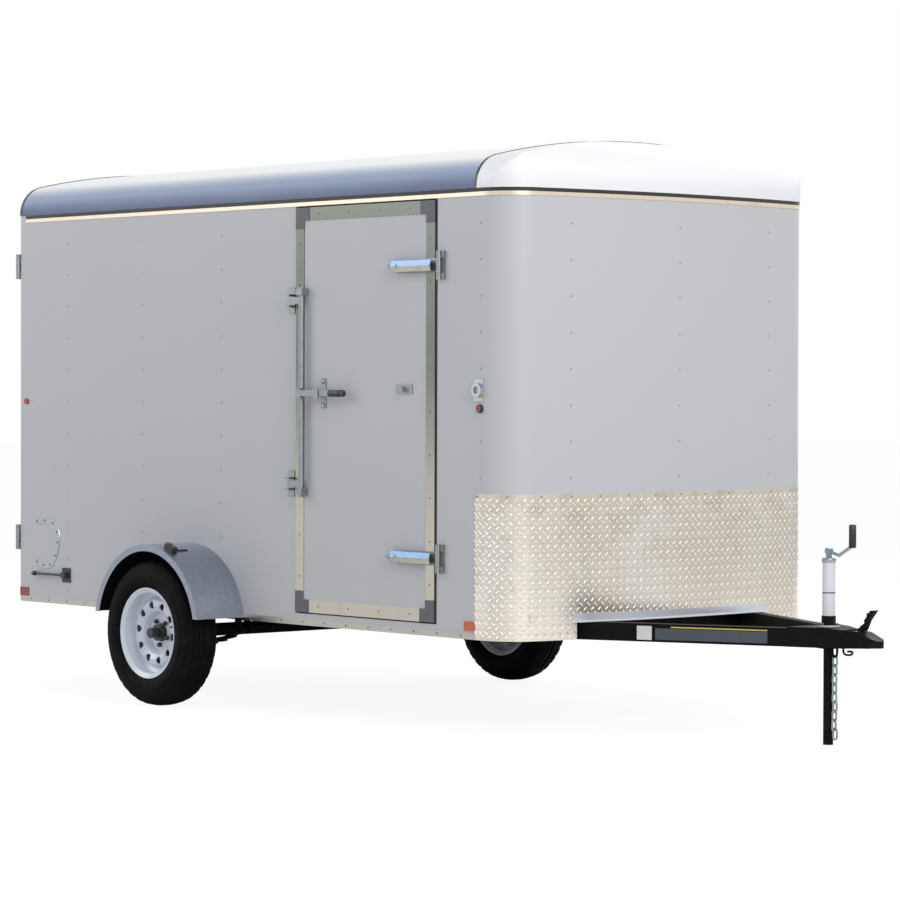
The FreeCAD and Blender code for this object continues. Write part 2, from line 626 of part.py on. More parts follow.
def tongue_trim():
    """Angle across the nose on top of the A-frame."""
    half = TONGUE_HALF_AT_NOSE + 75
    keep = box(CORNER_X - 300, NOSE_X + 60, -half, half, FLOOR_Z, FLOOR_Z + 40)
    upright = plan_band(-SHEET - 2, -SHEET, CORNER_X - 300, FLOOR_Z, FLOOR_Z + 36)
    foot = plan_band(-SHEET - 34, -SHEET - 2, CORNER_X - 300, FLOOR_Z, FLOOR_Z + 2)
    return upright.fuse(foot).common(keep).removeSplitter()


# ---- doors, built with the hinge axis at the origin ----
# The leaf runs along +X from the axis, and +Y points out of the wall.
def door_edge(width):
    a, b = HINGE_SIDE_GAP, HINGE_SIDE_GAP + width
    ring = box(a, b, LEAF_FACE - LEAF_DOOR_T, LEAF_FACE, DOOR_Z, DOOR_TOP_Z)
    return ring.cut(box(a + EDGE_W, b - EDGE_W, LEAF_FACE - LEAF_DOOR_T - 1, LEAF_FACE + 1,
                        DOOR_Z + EDGE_W, DOOR_TOP_Z - EDGE_W))


def door_panel(width):
    a, b = HINGE_SIDE_GAP + EDGE_W, HINGE_SIDE_GAP + width - EDGE_W
    return box(a, b, LEAF_FACE - LEAF_DOOR_T, LEAF_FACE - PANEL_BACK, DOOR_Z + EDGE_W,
               DOOR_TOP_Z - EDGE_W)


def strap(z):
    """Pointed strap with its knuckle."""
    h = STRAP_W / 2
    outline = [V(0, LEAF_FACE, z - h), V(STRAP_REACH - 60, LEAF_FACE, z - h * 0.8),
               V(STRAP_REACH, LEAF_FACE, z), V(STRAP_REACH - 60, LEAF_FACE, z + h * 0.8),
               V(0, LEAF_FACE, z + h)]
    plate = prism(outline, V(0, STRAP_T, 0))
    knuckle = rod(V(0, 0, z - h), V(0, 0, z + h), KNUCKLE_R)
    bore = rod(V(0, 0, z - h - 1), V(0, 0, z + h + 1), PIN_R + PIN_PLAY)
    return plate.fuse(knuckle).cut(bore).removeSplitter()


def butt(z, plate_from, plate_to):
    """Two knuckles on their plates, joined by the pin; each plate spans plate_from to plate_to."""
    h = STRAP_W / 2 + BUTT_GAP
    ends = [(z - BUTT_H / 2, z - h), (z + h, z + BUTT_H / 2)]
    pieces = [rod(V(0, 0, z - BUTT_H / 2), V(0, 0, z + BUTT_H / 2), PIN_R)]
    for z0, z1 in ends:
        pieces.append(rod(V(0, 0, z0), V(0, 0, z1), KNUCKLE_R))
        pieces.append(box(plate_from, plate_to, -AXIS_OUT, -AXIS_OUT + BUTT_T, z0, z1))
        pieces.append(box(min(plate_from, -4.0), max(plate_from, 4.0), -AXIS_OUT + 3, -4.0,
                          z0, z1))
    if plate_to < 0:
        pieces.append(box(plate_from, -KNUCKLE_R - 5, -AXIS_OUT, -AXIS_OUT + BUTT_T,
                          z - BUTT_H / 2, z + BUTT_H / 2))
    return fuse(pieces)


def lock_bar(u, z0, z1):
    return rod(V(u, BAR_V, z0), V(u, BAR_V, z1), BAR_R)


def bar_guide(u, z):
    """Bearing that holds the bar on the door's edge."""
    return box(u - 22, u + 22, LEAF_FACE, BAR_V + BAR_R + 4, z - 14, z + 14)


def lever(u, z, reach):
    """Handle on the bar, pointing to the hinge, with its grip."""
    v = BAR_V + BAR_R
    hub_block = box(u - 16, u + 16, BAR_V, v + LEVER_T, z - 22, z + 22)
    arm = box(u - reach + GRIP_L - 5, u, v, v + LEVER_T, z - 13, z + 13)
    grip = rod(V(u - reach, GRIP_V, z), V(u - reach + GRIP_L, GRIP_V, z), GRIP_R)
    return [hub_block, arm, grip]


def hasp(u, z):
    """Plate on the door that holds the lever."""
    plate = box(u - 18, u + 18, LEAF_FACE - PANEL_BACK, LEAF_FACE - PANEL_BACK + 4, z - 66, z + 66)
    hook = box(u - 10, u + 10, LEAF_FACE - PANEL_BACK, BAR_V + BAR_R - 1, z - 10, z + 10)
    return plate.fuse(hook).removeSplitter()


def place(shape, axis_point, turn):
    """Turns a door piece about Z and moves its hinge axis to its place."""
    moved = shape.copy()
    moved.rotate(V(0, 0, 0), V(0, 0, 1), turn)
    moved.translate(axis_point)
    return moved


def on_side(shape):
    return place(shape, SIDE_AXIS, 180)


def on_rear(shape):
    return place(shape, REAR_AXIS, 90)


SIDE_BAR_U = HINGE_SIDE_GAP + SIDE_DOOR_W - 65
SIDE_BAR_Z = (975.0, 1905.0)
SIDE_CAM_Z = (1033.0, 1845.0)
CAM_H = 30.0
CAM_REACH = 75.0
REAR_BAR_U = HINGE_SIDE_GAP + REAR_DOOR_W - 50
REAR_BAR_Z = (432.0, 2288.0)
REAR_LEVER_Z = 1180.0
LEVER_REACH = 315.0


def side_bar():
    """Side door's lock bar with its cams, guides, lever and hasp."""
    z0, z1 = SIDE_BAR_Z
    pieces = [lock_bar(SIDE_BAR_U, z0, z1)] + lever(SIDE_BAR_U, LEVER_Z, LEVER_REACH)
    for z in SIDE_CAM_Z:
        pieces.append(box(SIDE_BAR_U, SIDE_BAR_U + BAR_R + CAM_REACH, BAR_V - 7, BAR_V + 7,
                          z - CAM_H / 2, z + CAM_H / 2))
    for z in (z0 + 22, z1 - 22):
        pieces.append(bar_guide(SIDE_BAR_U, z))
    return Part.makeCompound([fuse(pieces), hasp(SIDE_BAR_U - 130, LEVER_Z)])


def side_keeper(z):
    """Plate on the wall with two jaws that the cam lies between."""
    u0 = HINGE_SIDE_GAP + SIDE_DOOR_W + DOOR_GAP + 2
    plate = box(u0, u0 + 44, -AXIS_OUT, -AXIS_OUT + 5, z - 58, z + 58)
    jaws = []
    for s in (-1, 1):
        a = z + s * (CAM_H / 2 + KEEPER_GAP)
        jaws.append(box(u0, u0 + 30, -AXIS_OUT, BAR_V + 12, min(a, a + s * 9), max(a, a + s * 9)))
    return fuse([plate] + jaws)


def rear_bar():
    z0, z1 = REAR_BAR_Z
    pieces = [lock_bar(REAR_BAR_U, z0, z1)] + lever(REAR_BAR_U, REAR_LEVER_Z, LEVER_REACH)
    for z in (560.0, 1700.0, 2160.0):
        pieces.append(bar_guide(REAR_BAR_U, z))
    return Part.makeCompound([fuse(pieces), hasp(REAR_BAR_U - 130, REAR_LEVER_Z)])


def rear_keeper(z0, z1):
    """Two jaws on the rear frame, one each side of the bar's end."""
    jaws = []
    for s in (-1, 1):
        a = REAR_BAR_U + s * (BAR_R + KEEPER_GAP)
        jaws.append(box(min(a, a + s * 9), max(a, a + s * 9), -AXIS_OUT, BAR_V + 12, z0, z1))
    half = BAR_R + KEEPER_GAP + 9
    plate = box(REAR_BAR_U - half, REAR_BAR_U + half, -AXIS_OUT, -AXIS_OUT + 5, z0, z1)
    return fuse([plate] + jaws)


def door_stud():
    """Stud on the side door that the wall's holder grips when the door is folded back."""
    u = SIDE_AXIS_X - (REAR_X + 2918.0)
    base = box(u - 54, u + 54, LEAF_FACE - PANEL_BACK, LEAF_FACE - PANEL_BACK + 4, 1434, 1474)
    stem = rod(V(u, LEAF_FACE - PANEL_BACK, 1454), V(u, LEAF_FACE + 20, 1454), 11.0)
    return base.fuse(stem).removeSplitter()


def door_holder():
    """Cup on the wall for the door's stud."""
    x, z = REAR_X + 3396.0, 1452.0
    plate = box(x - 28, x + 28, -HALF_W - 4, -HALF_W, z - 46, z + 46)
    cup = rod(V(x, -HALF_W, z), V(x, -HALF_W - 20, z), 30.0)
    return plate.fuse(cup).cut(rod(V(x, -HALF_W - 8, z), V(x, -HALF_W - 21, z), 15.0))


def rear_holder():
    """Hold-back for the open rear door: a rod with a rubber tip on a square base."""
    z = 548.0
    base = box(REAR_X + 362, REAR_X + 430, -HALF_W - 4, -HALF_W, z - 35, z + 35)
    block = box(REAR_X + 380, REAR_X + 412, -HALF_W - 26, -HALF_W, z - 14, z + 14)
    arm = rod(V(REAR_X + 135, -HALF_W - 18, z), V(REAR_X + 400, -HALF_W - 18, z), 6.0)
    tip = rod(V(REAR_X + 135, -HALF_W - 18, z), V(REAR_X + 155, -HALF_W - 18, z), 11.0)
    return fuse([base, block, arm, tip])


# ---- lamps and plate ----
def red_lamps():
    """Rear side reflectors and clearance lamps, stop lamps on the sill and three on the header."""
    side = box(REAR_X + 1, REAR_X + 74, -HALF_W - LENS_T, -HALF_W, 435, 475)
    clearance = rod(V(REAR_X + 56, -HALF_W, 1388), V(REAR_X + 56, -HALF_W - 10, 1388), 14.0)
    stop = box(REAR_X - 14, REAR_X, -HALF_W + 30, -HALF_W + 190, SKIRT_Z + 6, SKIRT_Z + 46)
    corner = box(REAR_X - 12, REAR_X, -HALF_W + 70, -HALF_W + 130, DOOR_TOP_Z + 44,
                 DOOR_TOP_Z + 70)
    header_z = DOOR_TOP_Z + 140
    header = [box(REAR_X - 12, REAR_X, y - 30, y + 30, header_z, header_z + 26)
              for y in (-160, 0, 160)]
    return Part.makeCompound(both_sides([side, clearance, stop, corner]).Solids + header)


def amber_lamps():
    """Front side reflectors and the round clearance lamps above them."""
    reflector = box(GUARD_X - 68, GUARD_X - 1, -HALF_W - LENS_T, -HALF_W, 442, 482)
    clearance = rod(V(GUARD_X + 28, -HALF_W, 1374), V(GUARD_X + 28, -HALF_W - 12, 1374), 15.0)
    return both_sides([reflector, clearance])


def plate_holder():
    """Holder for the licence plate, hung from the sill on the left."""
    y, half_w = 620.0, PLATE_W / 2
    z1 = SKIRT_Z + 4
    sheet = box(REAR_X - 3, REAR_X, y - half_w, y + half_w, z1 - PLATE_H, z1)
    holes = [rod(V(REAR_X - 4, y + s * PLATE_HOLES / 2, z1 - 22),
                 V(REAR_X + 1, y + s * PLATE_HOLES / 2, z1 - 22), PLATE_HOLE_R) for s in (-1, 1)]
    return sheet.cut(holes)


def main():
    os.makedirs("parts", exist_ok=True)
    export("frame_rails", both_sides([frame_side_rail()]))
    export("cross_members", cross_members())
    export("tongue_rails", both_sides([hollow_rail()]))
    export("coupler", coupler())
    export("coupler_latch", coupler_latch())
    export("jack_tube", jack_tube())
    export("jack_crank", jack_crank())
    export("jack_leg", jack_leg())
    export("safety_chain", safety_chain())
    export("axle", axle())
    export("leaf_springs", both_sides([leaf_spring()]))
    export("spring_hangers", both_sides([spring_hanger(-1), spring_hanger(1)]))
    for side, turn in (("right", lambda s: s), ("left", mirrored)):
        export("fender_" + side, turn(fender()))
        export("tyre_" + side, turn(tyre()))
        export("rim_" + side, turn(rim()))
        export("hub_" + side, turn(hub()))
        export("rear_door_%s_edge" % side, turn(on_rear(door_edge(REAR_DOOR_W))))
        export("rear_door_%s_panel" % side, turn(on_rear(door_panel(REAR_DOOR_W))))
        straps = Part.makeCompound([strap(z) for z in REAR_HINGE_Z])
        export("rear_door_%s_straps" % side, turn(on_rear(straps)))
        export("rear_door_%s_bar" % side, turn(on_rear(rear_bar())))
    export("side_door_edge", on_side(door_edge(SIDE_DOOR_W)))
    export("side_door_panel", on_side(door_panel(SIDE_DOOR_W)))
    export("side_door_straps", on_side(Part.makeCompound([strap(z) for z in SIDE_HINGE_Z])))
    export("side_door_bar", on_side(side_bar()))
    export("side_door_stud", on_side(door_stud()))
    side_butts = [on_side(butt(z, -BUTT_W - 12, -4.0)) for z in SIDE_HINGE_Z]
    rear_butts = [on_rear(butt(z, 4.5, 30.0)) for z in REAR_HINGE_Z]
    export("hinge_butts", Part.makeCompound(side_butts + rear_butts
                                            + [mirrored(s) for s in rear_butts]))
    keepers = [on_side(side_keeper(z)) for z in SIDE_CAM_Z]
    rear_keepers = [on_rear(rear_keeper(REAR_BAR_Z[0] - 8, DOOR_Z - DOOR_GAP - 2)),
                    on_rear(rear_keeper(DOOR_TOP_Z + DOOR_GAP + 2, REAR_BAR_Z[1] + 5))]
    export("bar_keepers", Part.makeCompound(keepers + rear_keepers
                                            + [mirrored(s) for s in rear_keepers]))
    wall = side_wall()
    export("wall_right", wall.cut(side_opening(-HALF_W - 1, -HALF_W + WALL_T + 1)))
    export("wall_left", mirrored(wall))
    export("wall_nose", nose_wall())
    export("wall_lining", lining())
    export("floor", plan_solid(WALL_T, BODY_X, FLOOR_Z, FLOOR_TOP_Z))
    export("roof", roof())
    export("roof_cap", cap_solid(0).cut(cap_hollow()))
    export("roof_bows", roof_bows())
    export("rear_frame", rear_frame())
    export("door_stop", door_stop())
    export("stone_guard", stone_guard())
    export("tongue_trim", tongue_trim())
    export("drip_rail", plan_band(-SHEET, 0, BODY_X, EAVE_Z - DRIP_H, EAVE_Z))
    export("eave_rail", plan_band(-RAIL_TRIM, 0, BODY_X, EAVE_Z - DRIP_H - EAVE_RAIL_H,
                                  EAVE_Z - DRIP_H))
    bottom = box(BODY_X, GUARD_X, -HALF_W - RAIL_TRIM, -HALF_W, SKIRT_Z,
                 SKIRT_Z + BOTTOM_RAIL_H)
    export("bottom_rails", both_sides([bottom]))
    export("door_holders", Part.makeCompound([door_holder(), rear_holder(),
                                              mirrored(rear_holder())]))
    export("red_lamps", red_lamps())
    export("amber_lamps", amber_lamps())
    export("plate_holder", plate_holder())


main()
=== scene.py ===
"""Enclosed cargo trailer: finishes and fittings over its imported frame, in metres."""
import json
import math

import bmesh
import bpy
from mathutils import Matrix, Vector
from mathutils.bvhtree import BVHTree


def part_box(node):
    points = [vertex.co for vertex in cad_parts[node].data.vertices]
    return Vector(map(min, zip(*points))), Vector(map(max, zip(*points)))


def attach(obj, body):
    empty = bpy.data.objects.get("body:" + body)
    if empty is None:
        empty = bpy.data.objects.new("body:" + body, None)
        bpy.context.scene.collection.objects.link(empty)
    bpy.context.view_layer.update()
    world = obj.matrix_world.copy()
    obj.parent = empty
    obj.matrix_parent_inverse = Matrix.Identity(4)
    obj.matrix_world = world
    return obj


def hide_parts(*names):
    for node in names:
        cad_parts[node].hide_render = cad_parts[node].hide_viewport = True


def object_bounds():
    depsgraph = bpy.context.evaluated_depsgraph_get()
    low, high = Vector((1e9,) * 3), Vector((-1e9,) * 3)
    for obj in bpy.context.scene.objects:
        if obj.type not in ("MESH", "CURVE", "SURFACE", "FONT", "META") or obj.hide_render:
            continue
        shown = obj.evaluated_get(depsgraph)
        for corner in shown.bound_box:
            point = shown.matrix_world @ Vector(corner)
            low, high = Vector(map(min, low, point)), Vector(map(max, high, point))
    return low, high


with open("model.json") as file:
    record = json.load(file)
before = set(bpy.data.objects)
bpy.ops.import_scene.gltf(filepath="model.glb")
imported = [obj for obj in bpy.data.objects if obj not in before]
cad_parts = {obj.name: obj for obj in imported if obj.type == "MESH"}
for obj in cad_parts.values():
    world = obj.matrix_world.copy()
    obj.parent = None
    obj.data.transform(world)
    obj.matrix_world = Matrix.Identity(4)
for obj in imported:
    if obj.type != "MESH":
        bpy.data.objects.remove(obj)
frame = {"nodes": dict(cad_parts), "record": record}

CAD_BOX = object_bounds()
NODES = frame["nodes"]
BODIES = frame["record"]["behaviour"]["bodies"]
UP = Vector((0, 0, 1))


# ---- finishes ----
class Level:
    """A value in a finish's nodes. Sums on it add Math nodes."""

    def __init__(self, finish, socket):
        self.finish = finish
        self.socket = socket

    def __add__(self, other):
        return self.finish.math("ADD", self, other)

    def __sub__(self, other):
        return self.finish.math("SUBTRACT", self, other)

    def __rsub__(self, other):
        return self.finish.math("SUBTRACT", other, self)

    def __mul__(self, other):
        return self.finish.math("MULTIPLY", self, other)

    def __truediv__(self, other):
        return self.finish.math("DIVIDE", self, other)

    def __rtruediv__(self, other):
        return self.finish.math("DIVIDE", other, self)

    def __pow__(self, other):
        return self.finish.math("POWER", self, other)

    def __gt__(self, other):
        return self.finish.math("GREATER_THAN", self, other)

    def __lt__(self, other):
        return self.finish.math("LESS_THAN", self, other)

    __radd__ = __add__
    __rmul__ = __mul__


class Finish:
    """A material under construction."""

    def __init__(self, name, tree=None, **shader):
        self.tree = tree
        if not tree:
            self.material = bpy.data.materials.new(name)
            self.material.use_nodes = True
            self.tree = self.material.node_tree
            self.shader = self.tree.nodes["Principled BSDF"]
            self.set(**shader)

    def feed(self, socket, value):
        if isinstance(value, Level):
            self.tree.links.new(value.socket, socket)
        elif socket.type == "RGBA":
            socket.default_value = tuple(value) + (1.0,)
        else:
            socket.default_value = value

    def set(self, **shader):
        """Socket values of the shader, with _ for the spaces in their names."""
        for name, value in shader.items():
            self.feed(self.shader.inputs[name.replace("_", " ")], value)

    def node(self, kind, settings, inputs, output=0):
        made = self.tree.nodes.new(kind)
        for name, value in settings.items():
            setattr(made, name, value)
        for name, value in inputs.items():
            self.feed(made.inputs[name], value)
        return Level(self, made.outputs[output])

    def math(self, operation, a, b=0.0, clamp=False):
        return self.node("ShaderNodeMath", {"operation": operation, "use_clamp": clamp}, {0: a, 1: b})

    def place(self, stretch=(1, 1, 1)):
        spot = self.node("ShaderNodeTexCoord", {}, {}, "Object")
        return self.node("ShaderNodeVectorMath", {"operation": "MULTIPLY"}, {0: spot, 1: stretch})

    def axis(self, number):
        return self.node("ShaderNodeSeparateXYZ", {}, {0: self.place()}, number)

    def skyward(self, number=2):
        """-1 on faces that look down, 1 on faces that look up; the same along Y for number 1."""
        normal = self.node("ShaderNodeNewGeometry", {}, {}, "Normal")
        return self.node("ShaderNodeSeparateXYZ", {}, {0: normal}, number)

    def cloud(self, size, detail=3.0, stretch=(1, 1, 1), sharp=0.5):
        """Noise from 0 to 1 with patches about size across."""
        return self.node("ShaderNodeTexNoise", {}, {
            "Vector": self.place(stretch), "Scale": 1 / size, "Detail": detail, "Roughness": sharp})

    def cells(self, size, output="Color"):
        return self.node("ShaderNodeTexVoronoi", {}, {"Vector": self.place(), "Scale": 1 / size}, output)

    def grey(self, colour):
        return self.node("ShaderNodeRGBToBW", {}, {0: colour})

    def step(self, value, low, high):
        """0 below low, 1 above high, smooth between."""
        return self.node("ShaderNodeMapRange", {"interpolation_type": "SMOOTHSTEP"}, {
            "Value": value, "From Min": low, "From Max": high})

    def blend(self, mask, under, over):
        return self.node("ShaderNodeMix", {"data_type": "RGBA"}, {0: mask, 6: under, 7: over}, 2)

    def relief(self, height, depth, strength=1.0):
        self.set(Normal=self.node("ShaderNodeBump", {}, {
            "Strength": strength, "Distance": depth, "Height": height}))


def painted_sheet(name, colour, shade, roughness, wave):
    """Prefinished aluminium sheet: faint waves, and road film near its lower edge."""
    f = Finish(name, IOR=1.5, Coat_Weight=0.25, Coat_Roughness=0.12)
    drift = f.cloud(0.9, 2.0)
    lower_darkening = (1 - f.step(f.axis(2), 0.42, 0.95)) * f.cloud(0.12, 4.0, (1, 1, 0.35))
    f.set(Base_Color=f.blend(lower_darkening * 0.35, f.blend(drift, colour, shade), (0.52, 0.50, 0.47)))
    f.set(Roughness=f.cloud(0.35) * 0.14 + roughness)
    f.relief(f.cloud(0.55, 1.0, (1, 1, 0.6)) + f.cloud(0.09, 1.0) * 0.05, wave)
    return f.material


def rolled_roof(name):
    """Roof sheet: white where it looks up, with a painted blue-grey reflection of the sky along its rolled edge, darker
    where that edge faces straight sideways.
    """
    f = Finish(name, Coat_Weight=0.1, Coat_Roughness=0.3)
    # Painted reflection: faces that turn sideways get a blue-grey sky reflection, and the most sideways ones a dark
    # blue one. The noise only wobbles the border of the band.
    reflection_wobble = f.cloud(0.30, 3.0, (0.12, 1, 1)) - 0.5
    aside = f.math("ABSOLUTE", f.skyward(1))
    shade = f.step(aside + reflection_wobble * 0.08, 0.36, 0.95)
    edge = f.step(aside + reflection_wobble * 0.03, 0.88, 1.0)
    low = f.blend(edge, (0.23, 0.31, 0.47), (0.06, 0.10, 0.21))
    f.set(Base_Color=f.blend(shade, (0.94, 0.95, 0.96), low))
    f.set(Roughness=f.cloud(0.35) * 0.14 + 0.36)
    f.relief(f.cloud(0.8, 1.0, (0.3, 1, 1)), 0.002)
    return f.material


def moulded_cap(name):
    f = Finish(name, Coat_Weight=0.15, Coat_Roughness=0.3)
    # Darker grey towards the cap's lower edge, below about 2.4 m.
    lower_darkening = 1 - f.step(f.axis(2) + f.cloud(0.25) * 0.05, 2.33, 2.42)
    f.set(Base_Color=f.blend(lower_darkening * 0.4, f.blend(f.cloud(0.6), (0.91, 0.91, 0.92), (0.88, 0.88, 0.895)), (0.70, 0.69, 0.70)))
    f.set(Roughness=f.cloud(0.2) * 0.1 + 0.40)
    f.relief(f.cloud(0.02, 2.0), 0.0001, 0.3)
    return f.material


def black_enamel(name):
    f = Finish(name, Specular_IOR_Level=0.10)
    dust = f.step(f.cloud(0.05, 5.0), 0.52, 0.75)
    f.set(Base_Color=f.blend(dust * 0.3, (0.003, 0.003, 0.0035), (0.024, 0.022, 0.021)))
    f.set(Roughness=f.cloud(0.03, 4.0) * 0.25 + 0.42)
    f.relief(f.cloud(0.006, 3.0), 0.0006, 0.6)
    return f.material


def zinc_plate(name):
    f = Finish(name, Metallic=1.0)
    stain = f.step(f.cloud(0.018, 5.0), 0.45, 0.75)
    # Painted reflection: faces that look down take the pale warm ground, faces that look up take the blue sky, and
    # sideways faces a plain grey.
    over = f.step(f.skyward(), 0.05, 0.30)
    under = f.step(f.skyward(), -0.30, -0.05)
    zinc_with_painted_reflection = f.blend(over, f.blend(under, (0.62, 0.60, 0.50), (0.33, 0.36, 0.36)), (0.17, 0.26, 0.42))
    f.set(Base_Color=f.blend(stain * 0.4, zinc_with_painted_reflection, (0.20, 0.22, 0.22)))
    f.set(Roughness=f.cloud(0.01, 4.0) * 0.25 + 0.27)
    f.relief(f.cloud(0.004, 3.0), 0.0004, 0.5)
    return f.material


def mill_aluminium(name, colour=(0.62, 0.58, 0.50), aloft=(0.215, 0.235, 0.205)):
    """Extruded aluminium with fine die lines; its colour runs from colour near the ground to aloft higher up, a painted
    reflection of the surroundings.
    """
    f = Finish(name, Metallic=1.0)
    lines = f.cloud(0.0025, 2.0, (1, 1, 0.012))
    marks = f.step(f.cloud(0.07, 5.0), 0.5, 0.72)
    # Painted reflection: the colour changes with height, between about 0.85 m and 1.75 m.
    height = f.step(f.axis(2) + f.cloud(0.4) * 0.2, 0.85, 1.75)
    f.set(Base_Color=f.blend(marks * 0.12, f.blend(height, colour, aloft), (0.20, 0.20, 0.19)))
    f.set(Roughness=lines * 0.12 + marks * 0.08 + 0.24)
    f.relief(lines, 0.0002, 0.35)
    return f.material


def bright_plate(name):
    """Bright aluminium floor plate, with warm patches and dark patches painted in as reflections of the surroundings,
    the dark ones more often higher up.
    """
    f = Finish(name, Metallic=1.0)
    # Painted reflections: warm patches from the warm surroundings, and dark patches that are more common higher up and
    # also a little rougher.
    painted_warm_reflection = f.step(f.cloud(0.34, 2.0, (1, 1, 0.55)), 0.30, 0.72)
    painted_dark_reflection = f.step(f.cloud(0.11, 5.0) + f.axis(2) * 0.28, 0.74, 0.92)
    plate = f.blend(painted_warm_reflection, (0.95, 0.88, 0.78), (0.86, 0.77, 0.63))
    f.set(Base_Color=f.blend(painted_dark_reflection * 0.45, plate, (0.34, 0.31, 0.24)))
    f.set(Roughness=f.cloud(0.03, 4.0) * 0.12 + painted_dark_reflection * 0.12 + 0.12)
    f.relief(f.cloud(0.012, 2.0), 0.0006, 0.4)
    return f.material


def zinc_spangle(name):
    """Galvanised steel with fine crystals and dark specks, and painted black shade on the faces that look down."""
    f = Finish(name, Metallic=0.9)
    crystal = f.grey(f.cells(0.0055))
    speck = f.step(f.cloud(0.004, 4.0), 0.60, 0.70)
    tone = f.blend(crystal, (0.27, 0.30, 0.36), (0.38, 0.41, 0.48))
    # Painted shade: faces that look down, such as the inside of the wheel arch, are painted near black and made rough.
    painted_underside_shade = 1 - f.step(f.skyward(), -0.12, -0.02)
    f.set(Base_Color=f.blend(painted_underside_shade, f.blend(speck * 0.5, tone, (0.12, 0.13, 0.16)), (0.012, 0.012, 0.013)))
    f.set(Roughness=f.math("MAXIMUM", crystal * 0.18 + speck * 0.2 + 0.30, painted_underside_shade * 0.8))
    f.relief(f.cloud(0.006, 4.0), 0.0008, 0.6)
    return f.material


def tyre_rubber(name):
    f = Finish(name, Specular_IOR_Level=0.08)
    dust = f.step(f.cloud(0.03, 5.0), 0.45, 0.75)
    f.set(Base_Color=f.blend(dust * 0.4, (0.003, 0.003, 0.003), (0.014, 0.013, 0.012)))
    f.set(Roughness=f.cloud(0.02, 4.0) * 0.2 + 0.58)
    f.relief(f.cloud(0.0015, 3.0), 0.0003, 0.5)
    return f.material


def enamel(name, colour, dark, roughness=0.25):
    """Gloss paint with a little grime where it has settled."""
    f = Finish(name, Coat_Weight=0.35, Coat_Roughness=0.1)
    grime = f.step(f.cloud(0.03, 5.0), 0.55, 0.8)
    f.set(Base_Color=f.blend(grime * 0.4, colour, dark))
    f.set(Roughness=f.cloud(0.02, 3.0) * 0.15 + roughness)
    f.relief(f.cloud(0.003, 2.0), 0.0002, 0.4)
    return f.material


def plywood(name):
    f = Finish(name)
    grain = f.cloud(0.012, 5.0, (0.06, 1, 1), 0.65)
    figure = f.cloud(0.16, 3.0, (0.25, 1, 1))
    f.set(Base_Color=f.blend(grain * figure * 1.8, (0.42, 0.27, 0.14), (0.66, 0.47, 0.28)))
    f.set(Roughness=grain * 0.2 + 0.55)
    f.relief(grain, 0.0008, 0.5)
    return f.material


def holder_finish(name):
    """Zinc on the cup near the nose, with a painted reflection: bluish where it looks up, pale warm where it looks
    down; dark paint on the rods near the rear.
    """
    f = Finish(name)
    front = f.step(f.axis(0), -0.5, -0.4)
    # Painted reflection on the zinc: blue sky on faces that look up, pale warm ground on faces that look down.
    over = f.step(f.skyward(), -0.2, 0.4)
    zinc = f.blend(over, (0.62, 0.61, 0.55), (0.30, 0.38, 0.54))
    f.set(Base_Color=f.blend(front, f.blend(f.cloud(0.03), (0.012, 0.017, 0.028), (0.03, 0.035, 0.045)), zinc))
    f.set(Roughness=f.cloud(0.02, 3.0) * 0.15 + 0.33, Metallic=front * 0.9)
    f.relief(f.cloud(0.004, 2.0), 0.0002, 0.4)
    return f.material


def lens(name, colour, deep, aloft=None):
    """Moulded lens with fine prisms inside; aloft is the colour of the lamps above the floor."""
    f = Finish(name, Coat_Weight=0.8, Coat_Roughness=0.04)
    prism = f.grey(f.cells(0.004))
    f.set(Base_Color=f.blend(f.step(f.axis(2), 0.9, 1.0), f.blend(prism, colour, deep), aloft or colour))
    f.set(Roughness=prism * 0.15 + 0.15)
    f.relief(prism, 0.0006, 0.5)
    return f.material


FINISHES = {
    "wall_white": painted_sheet("white_sheet", (0.525, 0.53, 0.55), (0.498, 0.505, 0.53), 0.30, 0.004),
    "roof_white": rolled_roof("roof_sheet_painted_reflection"),
    "cap_white": moulded_cap("cap_gloss"),
    "frame_black": black_enamel("chassis_black"),
    "zinc": zinc_plate("zinc_plate"),
    "aluminium": mill_aluminium("mill_aluminium"),
    "tread_plate": bright_plate("floor_plate"),
    "galvanised": zinc_spangle("zinc_spangle"),
    "tyre": tyre_rubber("tyre_rubber"),
    "rim_white": enamel("wheel_white", (0.66, 0.70, 0.78), (0.40, 0.40, 0.42)),
    "hub_dark": enamel("hub_dark", (0.014, 0.014, 0.015), (0.05, 0.045, 0.04), 0.4),
    "plywood": plywood("plywood_board"),
    "red_lens": lens("red_lens", (0.34, 0.006, 0.006), (0.17, 0.003, 0.004)),
    "amber_lens": lens("amber_lens", (0.66, 0.13, 0.012), (0.48, 0.075, 0.008), (0.22, 0.012, 0.010)),
    "black_trim": enamel("black_rubber", (0.006, 0.006, 0.007), (0.02, 0.02, 0.02), 0.5),
    "jack_white": enamel("jack_white", (0.68, 0.68, 0.73), (0.40, 0.38, 0.38), 0.3),
    "chain": zinc_plate("chain_zinc"),
}
for body, members in BODIES.items():
    for member in members:
        for holder in NODES[member].material_slots:
            holder.material = FINISHES[holder.material.name.split(".")[0]]


# ---- making pieces ----
def fit(name, mesh, body, slot, finish=None, smooth=True):
    """A finished piece of that mesh, on its body."""
    mesh.materials.append(finish or FINISHES[slot])
    for face in mesh.polygons:
        face.use_smooth = smooth
    piece = bpy.data.objects.new(name, mesh)
    bpy.context.scene.collection.objects.link(piece)
    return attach(piece, body)


def mesh_of(name, points, faces):
    mesh = bpy.data.meshes.new(name)
    mesh.from_pydata([tuple(p) for p in points], [], faces)
    mesh.validate()
    return mesh


